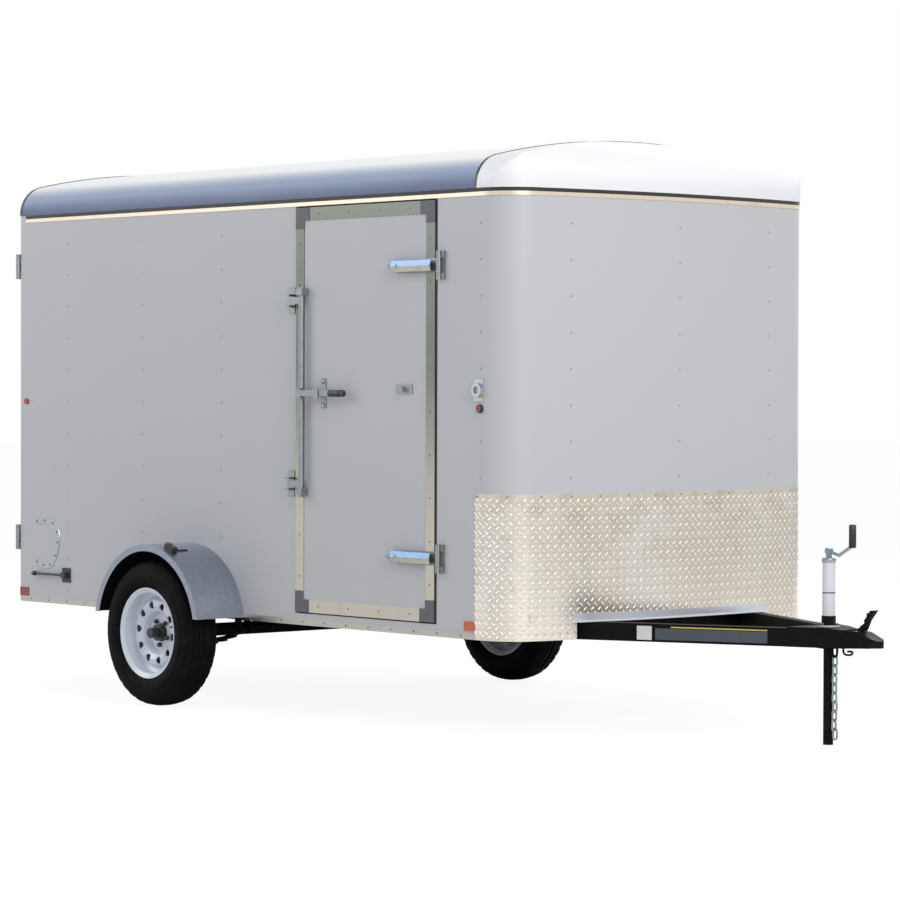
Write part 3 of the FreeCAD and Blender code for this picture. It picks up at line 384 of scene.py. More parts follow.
def skin(*names):
    """The faces of those nodes, to set fittings on."""
    points, faces = [], []
    for name in names:
        mesh = NODES[name].data
        start = len(points)
        points += [v.co.copy() for v in mesh.vertices]
        faces += [[start + i for i in face.vertices] for face in mesh.polygons]
    return BVHTree.FromPolygons(points, faces)


def meet(tree, start, way):
    """(point, normal) where a ray first meets a skin."""
    point, normal, index, distance = tree.ray_cast(Vector(start), Vector(way))
    return (point, normal) if point else None


def domes(name, spots, radius, height, body, slot, sides=8, finish=None):
    """Rivet or screw heads, one at each (point, normal)."""
    points, faces = [], []
    for point, normal in spots:
        across = normal.orthogonal().normalized()
        along = normal.cross(across)
        start = len(points)
        for scale, rise in ((1.0, -0.2), (0.94, 0.45), (0.6, 0.88)):
            for i in range(sides):
                turn = 2 * math.pi * i / sides
                rim = across * math.cos(turn) + along * math.sin(turn)
                points.append(point + rim * radius * scale + normal * height * rise)
        points.append(point + normal * height)
        for ring in range(2):
            for i in range(sides):
                a, b = start + ring * sides + i, start + ring * sides + (i + 1) % sides
                faces.append((a, b, b + sides, a + sides))
        top = start + 2 * sides
        faces += [(top + i, top + (i + 1) % sides, start + 3 * sides) for i in range(sides)]
        faces.append([start + i for i in reversed(range(sides))])
    return fit(name, mesh_of(name, points, faces), body, slot, finish)


# ---- sheet rivets ----
LOW, HIGH = CAD_BOX
WALL = skin("wall_right", "wall_left", "wall_nose")
NOSE_SKIN = skin("wall_nose", "stone_guard")
GUARD_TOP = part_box("stone_guard")[1].z
DOOR_LOW, DOOR_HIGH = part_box("side_door_edge")
REAR_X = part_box("rear_frame")[0].x
FIRST_POST = REAR_X + 0.403
POST_PITCH = 0.610
RIVET_ROWS = [2.151 - 0.1524 * i for i in range(12)]


def rivet_columns(side):
    columns = [REAR_X + 0.02] + [FIRST_POST + POST_PITCH * i for i in range(3)] + [1.0235]
    if side > 0:
        columns += [FIRST_POST + POST_PITCH * i for i in (3, 4)]
    return columns


def sheet_rivets():
    spots = []
    for side in (-1, 1):
        for x in rivet_columns(side):
            spots += [meet(WALL, (x, side * 2, z), (0, -side, 0)) for z in RIVET_ROWS]
    for y in (-0.599, 0.0, 0.596):
        spots += [meet(WALL, (3, y, z), (-1, 0, 0)) for z in RIVET_ROWS if z > GUARD_TOP + 0.03]
    domes("sheet_rivets", [s for s in spots if s], 0.0048, 0.0022, "trailer", "wall_white", 8, RIVET)


RIVET = enamel("rivet_grey", (0.30, 0.31, 0.33), (0.14, 0.14, 0.14), 0.35)
SCREW = enamel("screw_dark", (0.09, 0.09, 0.095), (0.03, 0.03, 0.03), 0.4)
# The rails turn cream higher up, at the eave: a painted warm reflection of the sun.
RAIL_WITH_PAINTED_REFLECTION = mill_aluminium("rail_painted_reflection", (0.56, 0.54, 0.49), (0.80, 0.70, 0.56))
CAP_GREY = enamel("corner_grey", (0.095, 0.097, 0.105), (0.05, 0.05, 0.05), 0.45)
ROD_DARK = enamel("rod_dark", (0.045, 0.055, 0.075), (0.02, 0.02, 0.02), 0.4)
HOLDER = holder_finish("holder_finish")
PLAIN_LABEL = enamel("plain_label", (0.62, 0.62, 0.60), (0.40, 0.39, 0.36), 0.5)
STRIPE = enamel("yellow_stripe", (0.62, 0.46, 0.05), (0.35, 0.27, 0.05), 0.5)
TRIM_BRIGHT = mill_aluminium("trim_bright", (0.74, 0.77, 0.82), (0.74, 0.77, 0.82))
for node, finish in (("tongue_trim", TRIM_BRIGHT), ("bottom_rails", RAIL_WITH_PAINTED_REFLECTION), ("eave_rail", RAIL_WITH_PAINTED_REFLECTION), ("door_holders", HOLDER)):
    NODES[node].material_slots[0].material = finish
sheet_rivets()


# ---- shapes that several fittings use ----
def slab(name, outline, origin, across, up, thickness, body, slot, finish=None, chamfer=0.0006):
    """Flat plate: its outline in the across and up directions, standing out from origin."""
    work = bmesh.new()
    out = across.cross(up)
    face = work.faces.new([work.verts.new(origin + across * a + up * b) for a, b in outline])
    top = bmesh.ops.extrude_face_region(work, geom=[face])["geom"]
    bmesh.ops.translate(work, vec=out * thickness, verts=[g for g in top if isinstance(g, bmesh.types.BMVert)])
    raised = [g for g in top if isinstance(g, bmesh.types.BMFace)]
    rim = list({edge for g in raised for edge in g.edges})
    bmesh.ops.bevel(work, geom=rim, offset=chamfer, segments=1, affect="EDGES")
    bmesh.ops.recalc_face_normals(work, faces=work.faces)
    mesh = bpy.data.meshes.new(name)
    work.to_mesh(mesh)
    work.free()
    return fit(name, mesh, body, slot, finish, False)


def turned(name, profile, centre, axis, body, slot, finish=None, sides=32, smooth=True, hollow=False):
    """Profile of (along, radius) turned about the axis; hollow joins its ends as a ring's bore."""
    axis = axis.normalized()
    across = axis.orthogonal().normalized()
    along = axis.cross(across)
    points, faces = [], []
    for step, radius in profile:
        for i in range(sides):
            turn = 2 * math.pi * i / sides
            points.append(centre + axis * step + (across * math.cos(turn) + along * math.sin(turn)) * radius)
    rows = len(profile)
    for row in range(rows if hollow else rows - 1):
        for i in range(sides):
            a, b, above = row * sides + i, row * sides + (i + 1) % sides, (row + 1) % rows * sides
            faces.append((a, b, above + (i + 1) % sides, above + i))
    if not hollow:
        faces.append(list(reversed(range(sides))))
        faces.append([(rows - 1) * sides + i for i in range(sides)])
    return fit(name, mesh_of(name, points, faces), body, slot, finish, smooth)


def wires(name, paths, radius, body, slot, finish=None, closed=True):
    """Round wire along each path of points."""
    line = bpy.data.curves.new(name, "CURVE")
    line.dimensions = "3D"
    line.bevel_depth = radius
    line.bevel_resolution = 3
    line.resolution_u = 5
    line.use_fill_caps = True
    for path in paths:
        run = line.splines.new("NURBS")
        run.points.add(len(path) - 1)
        for knot, point in zip(run.points, path):
            knot.co = (*point, 1)
        run.order_u = 3
        run.use_cyclic_u = closed
        run.use_endpoint_u = not closed
    line.materials.append(finish or FINISHES[slot])
    piece = bpy.data.objects.new(name, line)
    bpy.context.scene.collection.objects.link(piece)
    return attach(piece, body)


def band(name, rim, half_width, height, body, slot, finish=None):
    """Flat moulding over a rim of (point, normal), as wide along X as twice half_width."""
    points, faces = [], []
    for point, normal in rim:
        flat = Vector((0, normal.y, normal.z)).normalized()
        for x, rise in ((-half_width, -0.001), (-half_width * 0.8, height), (half_width * 0.8, height), (half_width, -0.001)):
            points.append(point + Vector((x, 0, 0)) + flat * rise)
    for i in range(len(rim) - 1):
        for k in range(4):
            a, b = i * 4 + k, i * 4 + (k + 1) % 4
            faces.append((a, b, b + 4, a + 4))
    faces += [(0, 1, 2, 3), tuple(len(points) - 4 + k for k in (3, 2, 1, 0))]
    return fit(name, mesh_of(name, points, faces), body, slot, finish, False)


EAST, NORTH = Vector((1, 0, 0)), Vector((0, 1, 0))


# ---- doors ----
def corner_caps(name, node, across, out, body):
    """Grey caps over the four corners of a door's edge."""
    low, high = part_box(node)
    face = high if out.dot(Vector((1, 1, 1))) > 0 else low
    span = abs((high - low).dot(across))
    start = min(low.dot(across), high.dot(across))
    arm, wide = 0.095, 0.0575
    screws = []
    for j, (z, rise) in enumerate(((low.z, 1), (high.z, -1))):
        for i, (edge, reach) in enumerate(((start, 1), (start + span, -1))):
            corner = across * edge + UP * z + out * face.dot(out)
            outline = [(0, 0), (arm, 0), (arm, wide), (wide, wide), (wide, arm), (0, arm)]
            outline = [(a * reach, b * rise) for a, b in outline]
            if (across.cross(UP)).dot(out) * reach * rise < 0:
                outline = outline[::-1]
            turn = across if across.cross(UP).dot(out) > 0 else -across
            flip = 1 if turn == across else -1
            outline = [(a * flip, b) for a, b in outline]
            slab(f"{name}_{j}{i}", outline, corner, turn, UP, 0.0022, body, "black_trim", CAP_GREY)
            for a, b in ((0.078, 0.030), (0.030, 0.078)):
                screws.append((corner + across * a * reach + UP * b * rise + out * 0.0022, out))
    upright = [low.z + 0.16 + (high.z - low.z - 0.32) * k / 8 for k in range(9)]
    level = [start + 0.16 + (span - 0.32) * k / 3 for k in range(4)]
    for z in upright:
        screws += [(across * a + UP * z + out * face.dot(out), out) for a in (start + 0.03, start + span - 0.03)]
    for a in level:
        screws += [(across * a + UP * z + out * face.dot(out), out) for z in (low.z + 0.03, high.z - 0.03)]
    domes(name + "_screws", screws, 0.0042, 0.0018, body, "zinc", 8, SCREW)


def strap_ridges(name, node, across, out, tip, rise, body):
    """Folded ridge along each hinge strap, with the bolts at its point."""
    low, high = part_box(node)
    face = low.dot(out) if low.dot(out) > high.dot(out) else high.dot(out)
    middles = STRAP_HEIGHTS[name]
    near, far = (low.dot(across), high.dot(across)) if tip < 0 else (high.dot(across), low.dot(across))
    points, faces, bolts = [], [], []
    root = 0.86 if rise > 0.005 else 0.66
    for z in middles:
        start = len(points)
        reach = far - near
        plan = [(near + reach * 0.02, 0), (near + reach * 0.14, 0.024), (near + reach * root, 0.024),
                (near + reach * root, -0.024), (near + reach * 0.14, -0.024)]
        points += [across * a + UP * (z + b) + out * face for a, b in plan]
        points += [across * (near + reach * 0.12) + UP * z + out * (face + rise),
                   across * (near + reach * root) + UP * z + out * (face + rise)]
        a, b, c, d, e, f, g = range(start, start + 7)
        faces += [(a, b, f), (b, c, g, f), (d, e, f, g), (e, a, f), (c, d, g)]
        for place in (0.10, 0.24):
            bolts.append((across * (near + reach * place) + UP * z + out * (face + rise - 0.0008), out))
    mesh = mesh_of(name + "_ridges", points, faces)
    work = bmesh.new()
    work.from_mesh(mesh)
    bmesh.ops.recalc_face_normals(work, faces=work.faces)
    work.to_mesh(mesh)
    work.free()
    fit(name + "_ridges", mesh, body, "zinc", None, False)
    domes(name + "_bolts", bolts, 0.0085, rise * 0.65, body, "zinc", 12)


STRAP_HEIGHTS = {"side_strap": (0.737, 1.979), "rear_right_strap": (0.720, 2.049), "rear_left_strap": (0.720, 2.049)}


def lever_grip(name, centre, axis, length, body):
    """Black sleeve on a handle, rounded at both ends."""
    half = length / 2
    profile = [(-half, 0.004), (-half, 0.0125), (-half + 0.003, 0.0152), (half - 0.003, 0.0152), (half + 0.001, 0.0125), (half + 0.002, 0.004)]
    turned(name, profile, centre, axis, body, "black_trim", None, 24)


def hasp_bolts(name, node, across, out, place, z, body):
    """Domed bolts at the ends of a hasp, and the catch over its lever."""
    tree = skin(node)
    spots = []
    for rise in (-0.052, 0.052):
        hit = meet(tree, across * place + UP * (z + rise) + out * 4, -out)
        if hit:
            spots.append((hit[0], out))
    domes(name + "_bolts", spots, 0.0115, 0.0075, body, "zinc", 14)
    hit = meet(tree, across * place + UP * z + out * 4, -out)
    if hit:
        catch = [(-0.017, -0.024), (0.017, -0.024), (0.017, 0.024), (-0.017, 0.024)]
        turn = across if across.cross(UP).dot(out) > 0 else -across
        slab(name + "_catch", catch, hit[0] - out * 0.001, turn, UP, 0.009, body, "zinc", None, 0.003)


def door_fittings():
    corner_caps("side_cap", "side_door_edge", EAST, -NORTH, "side_door")
    strap_ridges("side_strap", "side_door_straps", EAST, -NORTH, -1, 0.007, "side_door")
    low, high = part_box("side_door_bar")
    hasp_bolts("side_hasp", "side_door_bar", EAST, -NORTH, high.x - 0.315 + 0.130, 1.435, "side_door")
    lever_grip("side_grip", Vector((high.x - 0.049, low.y + 0.014, 1.435)), EAST, 0.098, "side_door")
    face = DOOR_LOW.y
    for side, mark in (("right", -1), ("left", 1)):
        body = "rear_door_" + side
        corner_caps(f"rear_{side}_cap", body + "_edge", NORTH, -EAST, body)
        strap_ridges(f"rear_{side}_strap", body + "_straps", NORTH, -EAST, -mark, 0.0035, body)
        low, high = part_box(body + "_bar")
        end = low.y + 0.049 if mark < 0 else high.y - 0.049
        lever_grip(f"rear_{side}_grip", Vector((low.x + 0.014, end, 1.180)), NORTH, 0.098, body)
    # Black strip beside the door's front edge: a painted shadow of the gap between door and wall.
    strip = [(0.001, -0.006), (0.011, -0.006), (0.011, DOOR_HIGH.z - DOOR_LOW.z + 0.006), (0.001, DOOR_HIGH.z - DOOR_LOW.z + 0.006)]
    slab("side_door_gap_shadow", strip, Vector((DOOR_HIGH.x, -0.917, DOOR_LOW.z)), EAST, UP, 0.0015, "trailer", "black_trim")


door_fittings()


# ---- stone guard ----
BAR_BRIGHT = mill_aluminium("bar_bright", (0.97, 0.95, 0.91), (0.93, 0.90, 0.86))


def guard_outline(z):
    """(distance along the guard, point, normal) round the nose at height z."""
    tree = skin("stone_guard")
    hub = Vector((0.85, 0, z))
    trace, length, last = [], 0.0, None
    for k in range(-460, 461):
        turn = math.radians(k * 0.25)
        way = Vector((math.cos(turn), math.sin(turn), 0))
        hit = meet(tree, hub + way * 3, -way)
        if hit:
            length += (hit[0] - last).length if last else 0.0
            last = hit[0]
            trace.append((length, hit[0], hit[1]))
    return tree, trace


def along(trace, wanted):
    for (s0, p0, n0), (s1, p1, n1) in zip(trace, trace[1:]):
        if s0 <= wanted <= s1:
            part = (wanted - s0) / max(s1 - s0, 1e-9)
            return p0.lerp(p1, part), n0.lerp(n1, part).normalized()
    return None


def tread_bars():
    """Raised bars of the floor plate, in two directions."""
    low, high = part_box("stone_guard")
    tree, trace = guard_outline(0.8)
    total = trace[-1][0]
    pitch, length, width, height = 0.038, 0.0145, 0.0046, 0.0016
    points, faces = [], []
    for set_number, slant in ((0, 1), (1, -1)):
        shift = set_number * pitch / 2
        for i in range(int(total / pitch) + 1):
            spot = along(trace, i * pitch + shift + 0.008)
            if not spot:
                continue
            base, normal = spot
            for j in range(int((high.z - low.z) / pitch) + 1):
                z = low.z + 0.014 + j * pitch + shift
                hit = meet(tree, (base.x + normal.x * 0.2, base.y + normal.y * 0.2, z), (-normal.x, -normal.y, 0))
                if z > high.z - 0.012 or not hit or (hit[0] - base).xy.length > 0.02:
                    continue
                side = UP.cross(normal).normalized()
                ridge = (side * slant + UP).normalized()
                cross = normal.cross(ridge)
                start = len(points)
                for a, b in ((1, 0), (0.5, 0.85), (0, 1), (-0.5, 0.85), (-1, 0), (-0.5, -0.85), (0, -1), (0.5, -0.85)):
                    points.append(hit[0] + ridge * a * length + cross * b * width - normal * 0.0004)
                points.append(hit[0] + ridge * length * 0.5 + normal * height)
                points.append(hit[0] - ridge * length * 0.5 + normal * height)
                n = start
                faces += [(n, n + 1, n + 8), (n + 1, n + 2, n + 8), (n + 2, n + 9, n + 8), (n + 2, n + 3, n + 9),
                          (n + 3, n + 4, n + 9), (n + 4, n + 5, n + 9), (n + 5, n + 6, n + 9),
                          (n + 6, n + 8, n + 9), (n + 6, n + 7, n + 8), (n + 7, n, n + 8),
                          (n + 7, n + 6, n + 5, n + 4, n + 3, n + 2, n + 1, n)]
    fit("tread_bars", mesh_of("tread_bars", points, faces), "trailer", "tread_plate", BAR_BRIGHT)
    spots = []
    for k in range(int(total / 0.152) + 1):
        spot = along(trace, min(k * 0.152 + 0.012, total - 0.012))
        hit = meet(tree, (*(spot[0] + spot[1] * 0.2).xy, high.z - 0.012), (-spot[1].x, -spot[1].y, 0))
        spots.append(hit)
    for end in (0.012, total - 0.012):
        spot = along(trace, end)
        spots += [(Vector((spot[0].x, spot[0].y, high.z - 0.012 - 0.157 * k)), spot[1]) for k in range(1, 4)]
    domes("guard_rivets", [p for p in spots if p], 0.0055, 0.0028, "trailer", "zinc", 10)


tread_bars()


# ---- rails, roof mouldings and the small fittings of the side ----
def rail_rivets():
    tree = skin("bottom_rails")
    low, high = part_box("bottom_rails")
    spots = []
    for side in (-1, 1):
        x = low.x + 0.05
        while x < high.x:
            spots.append(meet(tree, (x, side * 2, low.z + 0.015), (0, -side, 0)))
            x += 0.152
    domes("rail_rivets", [p for p in spots if p], 0.0045, 0.002, "trailer", "zinc", 8, SCREW)


def roof_rim(node, x):
    """Where the roof's outline lies at x, from the right eave to the left one."""
    tree = skin(node)
    hub = Vector((x, 0, 2.25))
    rim = []
    for k in range(0, 109):
        turn = math.radians(3.4 + k * (180 - 6.8) / 108)
        way = Vector((0, -math.cos(turn), math.sin(turn)))
        hit = meet(tree, hub + way * 3, -way)
        if hit:
            rim.append((Vector((x, hit[0].y, hit[0].z)), hit[1]))
    return rim


def roof_mouldings():
    roof_low, roof_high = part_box("roof")
    band("roof_end_moulding", roof_rim("roof", roof_low.x + 0.008), 0.008, 0.003, "trailer", "black_trim")
    # The black band at the cap is a painted shadow of the gap between roof sheet and cap.
    band("cap_seam", roof_rim("roof", roof_high.x - 0.008), 0.007, 0.0025, "trailer", "black_trim")


def pull_strip():
    """Curved riveted strip low on the right side."""
    knots = [(-2.2365, 0.802), (-2.170, 0.808), (-2.1025, 0.796), (-2.066, 0.755), (-2.0625, 0.705),
             (-2.082, 0.640), (-2.1265, 0.594), (-2.180, 0.590), (-2.2345, 0.604)]
    face = Vector((0, -0.917, 0))
    rivets = knots
    ends = [knots[0]] + knots + [knots[-1]]
    knots = []
    for p, q, r, t in zip(ends, ends[1:], ends[2:], ends[3:]):
        for k in range(6):
            u = k / 6
            weights = (-u + 2 * u * u - u ** 3, 2 - 5 * u * u + 3 * u ** 3, u + 4 * u * u - 3 * u ** 3, u ** 3 - u * u)
            knots.append(tuple(sum(w * n[i] for w, n in zip(weights, (p, q, r, t))) / 2 for i in (0, 1)))
    knots.append(ends[-1])
    points, faces = [], []
    for i, (x, z) in enumerate(knots):
        a, b = knots[max(i - 1, 0)], knots[min(i + 1, len(knots) - 1)]
        run = Vector((b[0] - a[0], 0, b[1] - a[1])).normalized()
        side = run.cross(NORTH)
        for offset, rise in ((-0.0165, -0.001), (-0.0150, 0.003), (0.0150, 0.003), (0.0165, -0.001)):
            points.append(face + Vector((x, 0, z)) + side * offset - NORTH * rise)
    for i in range(len(knots) - 1):
        for k in range(4):
            a, b = i * 4 + k, i * 4 + (k + 1) % 4
            faces.append((a, b, b + 4, a + 4))
    faces += [(3, 2, 1, 0), tuple(len(points) - 4 + k for k in range(4))]
    fit("pull_strip", mesh_of("pull_strip", points, faces), "trailer", "aluminium", BRIGHT_STRIP, False)
    domes("pull_strip_rivets", [(face + Vector((x, -0.003, z)), -NORTH) for x, z in rivets], 0.0055, 0.003, "trailer", "zinc", 10, SCREW)


BRIGHT_STRIP = mill_aluminium("bright_strip", (0.50, 0.55, 0.58), (0.50, 0.55, 0.58))
rail_rivets()
roof_mouldings()
pull_strip()


# ---- wheels ----
def wheel_fittings(side, mark):
    """Nuts on the studs, and the valve, of one wheel."""
    body = "wheel_" + side
    low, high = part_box("tyre_" + side)
    centre = (low + high) / 2
    out = Vector((0, mark, 0))
    disc = centre + out * 0.001
    for k in range(5):
        turn = math.radians(49 + 72 * k)
        spot = disc + Vector((math.cos(turn), 0, math.sin(turn))) * 0.05715
        nut = [(0, 0.0108), (0.012, 0.0108), (0.0165, 0.0085), (0.019, 0.004)]
        turned(f"nut_{side}_{k}", nut, spot, out, body, "hub_dark", None, 6, False)
    # Dark ring behind the rim's vents, shaped as a brake drum: painted shade for the inside of the wheel.
    vent_shade_ring = [(-0.062, 0.060), (-0.062, 0.148), (-0.022, 0.150), (-0.018, 0.146), (-0.018, 0.060)]
    turned("drum_" + side, vent_shade_ring, centre, out, body, "hub_dark", None, 48, False, True)
    turn = math.radians(12)
    spot = centre + out * 0.045 + Vector((math.cos(turn), 0, math.sin(turn))) * 0.168
    stem = [(-0.02, 0.0045), (0.012, 0.0045), (0.014, 0.0038), (0.026, 0.0038), (0.028, 0.002)]
    turned("valve_" + side, stem, spot, out, body, "black_trim", None, 12)


def tread_tyre(side, mark):
    """Tyre with ribs, slots at its shoulders, and rings on its sidewalls."""
    low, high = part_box("tyre_" + side)
    centre = (low + high) / 2
    half = (high.y - low.y) / 2
    radius = (high.z - low.z) / 2
    skirt = [(0.045, 0.190), (0.068, 0.190), (0.076, 0.206), (0.0795, 0.211), (0.084, 0.219), (0.0865, 0.2225),
             (0.0885, 0.2235), (0.0925, 0.236), (half - 0.0015, 0.249), (half, 0.262), (half - 0.0005, 0.268),
             (half - 0.0022, 0.270), (half - 0.003, 0.282), (half - 0.0055, 0.294), (0.0875, 0.3005), (0.086, 0.3035)]
    tread = [(0.0805, 0.3115), (0.0775, 0.3155), (0.072, 0.3205), (0.063, 0.326), (0.0555, 0.3283)]
    ribs = []
    for inner, outer in ((0.0525, 0.0345), (0.0265, 0.0085)):
        ribs += [(inner + 0.003, -0.007), (inner, 0), ((inner + outer) / 2, 0), (outer, 0), (outer - 0.003, -0.007)]
    crown = [(s, 0.335 - 2.6 * s * s * 0.9 + drop) for s, drop in ribs]
    side_run = [(s, r, "wall") for s, r in skirt] + [(s, r, "slot") for s, r in tread] + [(s, r, "rib") for s, r in crown]
    run = side_run + [(-s, r, kind) for s, r, kind in reversed(side_run)]
    count = 144
    points, faces = [], []
    for i in range(count):
        turn = 2 * math.pi * i / count
        around = Vector((math.cos(turn), 0, math.sin(turn)))
        for s, r, kind in run:
            if kind == "slot" and i % 4 == 0:
                r -= 0.005
            if kind == "rib" and i % 4 == 2 and r > 0.328:
                r -= 0.0015
            points.append(centre + around * min(r, radius) + Vector((0, s * mark, 0)))
    n = len(run)
    for i in range(count):
        for k in range(n - 1):
            a, b = i * n + k, ((i + 1) % count) * n + k
            faces.append((a, b, b + 1, a + 1) if mark < 0 else (a, a + 1, b + 1, b))
    inner = [i * n for i in range(count)]
    outer = [i * n + n - 1 for i in range(count)]
    for i in range(count):
        j = (i + 1) % count
        faces.append((inner[j], inner[i], outer[i], outer[j]) if mark < 0 else (inner[i], inner[j], outer[j], outer[i]))
    piece = fit("tread_tyre_" + side, mesh_of("tread_tyre_" + side, points, faces), "wheel_" + side, "tyre")
    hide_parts("tyre_" + side)


for side, mark in (("right", -1), ("left", 1)):
    wheel_fittings(side, mark)
    tread_tyre(side, mark)


# ---- tongue ----
def jack_fittings():
    low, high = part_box("jack_crank")
    tube_low, tube_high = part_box("jack_tube")
    axis = (tube_low + tube_high) / 2
    foot = Vector((axis.x, 0, 0))
    lever_grip("crank_grip", Vector((high.x - 0.0115, 0, high.z - 0.047)), UP, 0.094, "trailer")
    turned("jack_collar", [(0.487, 0.0262), (0.487, 0.044), (0.494, 0.0465), (0.4955, 0.0465), (0.4965, 0.0300),
                            (0.530, 0.0295), (0.531, 0.0262)], foot, UP, "trailer", "frame_black", None, 40, True, True)
    turned("jack_gear_cap", [(0.750, 0.0275), (0.7505, 0.0290), (0.7655, 0.0290), (0.7680, 0.0260), (0.7685, 0.012)],
           foot, UP, "trailer", "zinc", None, 40)
    turned("jack_ring", [(0.623, 0.0262), (0.6235, 0.0272), (0.6275, 0.0272), (0.628, 0.0262)], foot, UP, "trailer", "black_trim", None, 40, True, True)
    turned("jack_plate", [(0.397, 0.0262), (0.397, 0.050), (0.403, 0.050), (0.4035, 0.0262)],
           foot, UP, "trailer", "frame_black", None, 6, False, True)
    bolts = [(foot + Vector((0.037 * math.cos(a), 0.037 * math.sin(a), 0.4955)), UP) for a in (0.5, 2.6, 4.7)]
    domes("jack_bolts", bolts, 0.007, 0.006, "trailer", "zinc", 6)


def hanging_chain():
    """Welded links hanging from an eye under the coupler."""
    low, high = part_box("safety_chain")
    x, y = (low.x + high.x) / 2, -0.012
    pitch, wire, half_wide = 0.0372, 0.0042, 0.0105
    half_long = pitch / 2 + wire
    paths = []
    top = high.z - 0.040
    for k in range(int((top - 0.012) / pitch)):
        z = top - pitch * (k + 0.5)
        side = EAST if k % 2 == 0 else NORTH
        lean = Vector((0.002 * math.sin(k * 1.7), 0.002 * math.cos(k * 2.3), 0))
        middle = Vector((x, y, z)) + lean
        loop = []
        for a, b in ((1, 0.5), (1, -0.5), (0.72, -1), (-0.72, -1), (-1, -0.5), (-1, 0.5), (-0.72, 1), (0.72, 1)):
            loop.append(middle + side * a * half_wide + UP * b * half_long)
        paths.append(loop)
    links = wires("chain_links", paths, wire, "trailer", "chain")
    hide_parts("safety_chain")
    eye = [Vector((x + a, y, high.z - b)) for a, b in ((-0.013, 0.0), (-0.013, 0.024), (-0.008, 0.040), (0.008, 0.040), (0.013, 0.024), (0.013, 0.0))]
    wires("chain_eye", [eye], 0.005, "trailer", "frame_black", None, False)
    loop = [Vector((x + 0.085 + a, y - 0.02 + b, high.z - c)) for a, b, c in
            ((-0.020, 0, -0.004), (-0.022, 0, 0.016), (-0.010, 0, 0.026), (0.020, 0, 0.026), (0.034, 0, 0.016), (0.022, 0, 0.009), (0.004, 0, 0.012))]
    wires("latch_loop", [loop], 0.0045, "trailer", "frame_black", None, False)


def rail_labels():
    """Blank label places and a plain stripe on the right tongue rail."""
    tree = skin("tongue_rails")
    for name, x0, x1, z0, z1, finish in (
            ("blank_label", 1.456, 1.516, 0.412, 0.470, PLAIN_LABEL),
            ("blank_panel", 1.530, 1.975, 0.414, 0.462, ROD_DARK),
            ("plain_stripe", 1.593, 1.975, 0.465, 0.470, STRIPE)):
        first = meet(tree, (x0, -3, (z0 + z1) / 2), (0, 1, 0))
        second = meet(tree, (x1, -3, (z0 + z1) / 2), (0, 1, 0))
        if first and second:
            way = (second[0] - first[0]).normalized()
            size = (second[0] - first[0]).length
            slab(name, [(0, 0), (size, 0), (size, z1 - z0), (0, z1 - z0)], Vector((first[0].x, first[0].y, z0)), way, UP,
                 0.0008, "trailer", "frame_black", finish, 0.0002)


jack_fittings()
hanging_chain()
rail_labels()


# ---- fender lamp ----
def fender_lamp():
    """Small lamp on top of the right fender, with its short lead fixed to the sheet."""
    tree = skin("fender_right")
    hit = meet(tree, (-0.832, -1.150, 2), (0, 0, -1))
    if not hit:
        return
    point, normal = hit
    run = normal.cross(NORTH).normalized()
    base = [(-0.030, -0.016), (0.030, -0.016), (0.030, 0.016), (-0.030, 0.016)]
    slab("fender_lamp_base", base, point - normal * 0.001, -run, NORTH, 0.030, "trailer", "black_trim", None, 0.004)
    front = [(0.012, -0.014), (0.031, -0.014), (0.031, 0.014), (0.012, 0.014)]
    slab("fender_lamp_lens", [(-a, -b) for a, b in front], point + normal * 0.006, -run, NORTH, 0.0275, "trailer", "red_lens", None, 0.003)
    lead = []
    for y in (-1.134, -1.110, -1.080, -1.055, -1.050):
        over = meet(tree, (-0.832, y, 2), (0, 0, -1))
        lead.append(over[0] + over[1] * (0.004 if y < -1.051 else -0.004))
    wires("fender_lamp_lead", [lead], 0.0035, "trailer", "black_trim", None, False)


def lamp_grommets():
    """Rubber rings round the small lamps near the nose."""
    low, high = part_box("amber_lamps")
    ring = [(-0.001, 0.0145), (-0.001, 0.0185), (0.009, 0.0180), (0.0115, 0.0160), (0.0115, 0.0140)]
    for side, mark in (("right", -1), ("left", 1)):
        centre = Vector((high.x - 0.015, mark * 0.917, high.z - 0.015))
        turned("lamp_grommet_" + side, ring, centre, Vector((0, mark, 0)), "trailer", "black_trim", None, 24, True, True)


fender_lamp()
lamp_grommets()


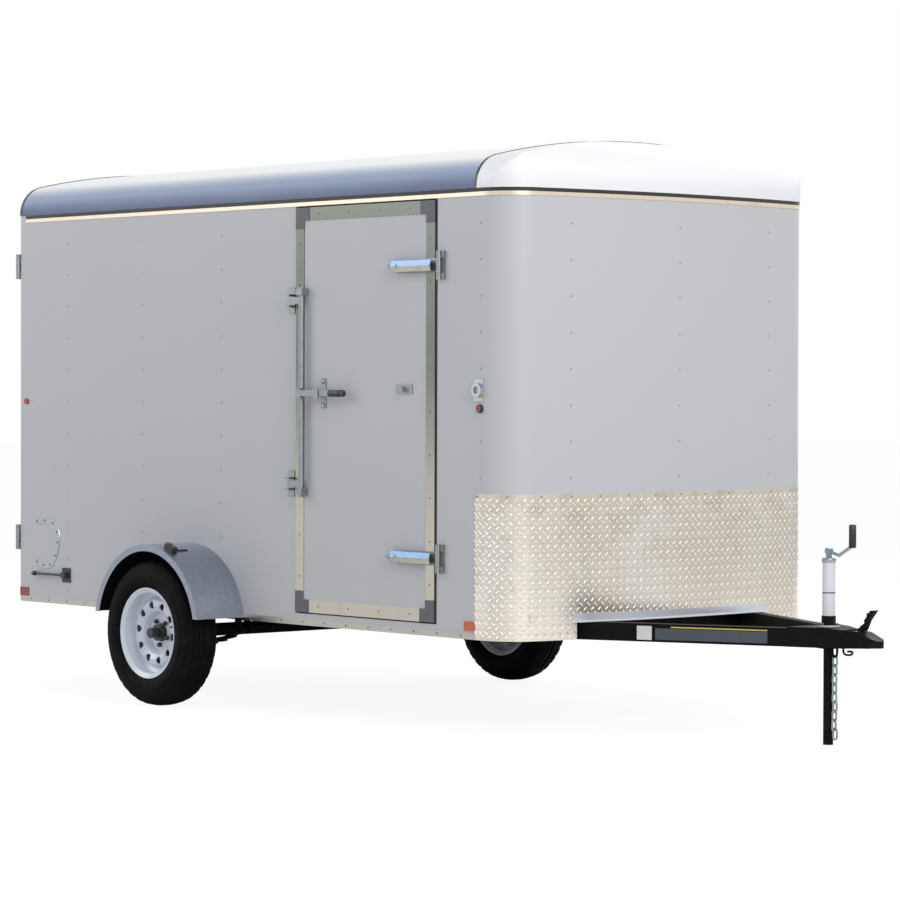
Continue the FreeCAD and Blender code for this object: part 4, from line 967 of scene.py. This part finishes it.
# ---- ground, light, camera ----
def studio():
    floor = mesh_of("ground", [(-60, -60, 0), (60, -60, 0), (60, 60, 0), (-60, 60, 0)], [(0, 1, 2, 3)])
    ground = bpy.data.objects.new("ground", floor)
    bpy.context.scene.collection.objects.link(ground)
    f = Finish("pale_ground", Roughness=0.9, Specular_IOR_Level=0.0)
    f.set(Base_Color=f.blend(f.cloud(3.0), (0.86, 0.86, 0.86), (0.88, 0.88, 0.88)))
    glow = f.node("ShaderNodeEmission", {}, {"Strength": 1.09})
    seen = f.node("ShaderNodeLightPath", {}, {}, "Is Camera Ray")
    mixed = f.node("ShaderNodeMixShader", {}, {0: seen * 0.84, 1: Level(f, f.shader.outputs[0]), 2: glow})
    f.feed(f.tree.nodes["Material Output"].inputs[0], mixed)
    floor.materials.append(f.material)

    world = bpy.data.worlds.new("sky")
    bpy.context.scene.world = world
    world.use_nodes = True
    f = Finish("sky_nodes", tree=world.node_tree)
    rays = [f.node("ShaderNodeLightPath", {}, {}, kind) for kind in ("Is Camera Ray", "Is Glossy Ray", "Is Transmission Ray")]
    lit = f.node("ShaderNodeBackground", {}, {"Color": (0.93, 0.96, 1.0), "Strength": 0.50})
    white = f.node("ShaderNodeBackground", {}, {"Color": (1, 1, 1), "Strength": 1.0})
    mixed = f.node("ShaderNodeMixShader", {}, {0: f.math("ADD", rays[0] + rays[1], rays[2], True), 1: lit, 2: white})
    f.feed(f.tree.nodes["World Output"].inputs[0], mixed)

    for name, spot, aim, size, power in (
            ("soft_box_front", (10.0, -3.2, 7.0), (0, 0, 1), 6.0, 640),
            ("soft_box_left", (-2.0, 9.0, 7.0), (0, 0, 1), 6.0, 380),
            ("soft_box_rear", (-8.0, -7.0, 6.0), (0, 0, 1), 5.0, 260)):
        lamp = bpy.data.lights.new(name, "AREA")
        lamp.size = size
        lamp.energy = power
        held = bpy.data.objects.new(name, lamp)
        held.location = spot
        held.rotation_euler = (Vector(aim) - Vector(spot)).to_track_quat("-Z", "Y").to_euler()
        bpy.context.scene.collection.objects.link(held)
    bpy.context.scene.view_settings.view_transform = "Standard"


def camera():
    lens_data = bpy.data.cameras.new("view")
    lens_data.lens = 137.17
    lens_data.sensor_width = 36
    lens_data.clip_end = 200
    viewer = bpy.data.objects.new("view", lens_data)
    turn = Matrix.Rotation(math.radians(48.873), 4, "Z") @ Matrix.Rotation(math.radians(90 - 1.0544), 4, "X")
    viewer.matrix_world = (Matrix.Translation((11.7219, -10.4271, 1.4649)) @ turn
                           @ Matrix.Rotation(math.radians(0.18), 4, "Z"))
    bpy.context.scene.collection.objects.link(viewer)
    bpy.context.scene.camera = viewer


studio()
camera()
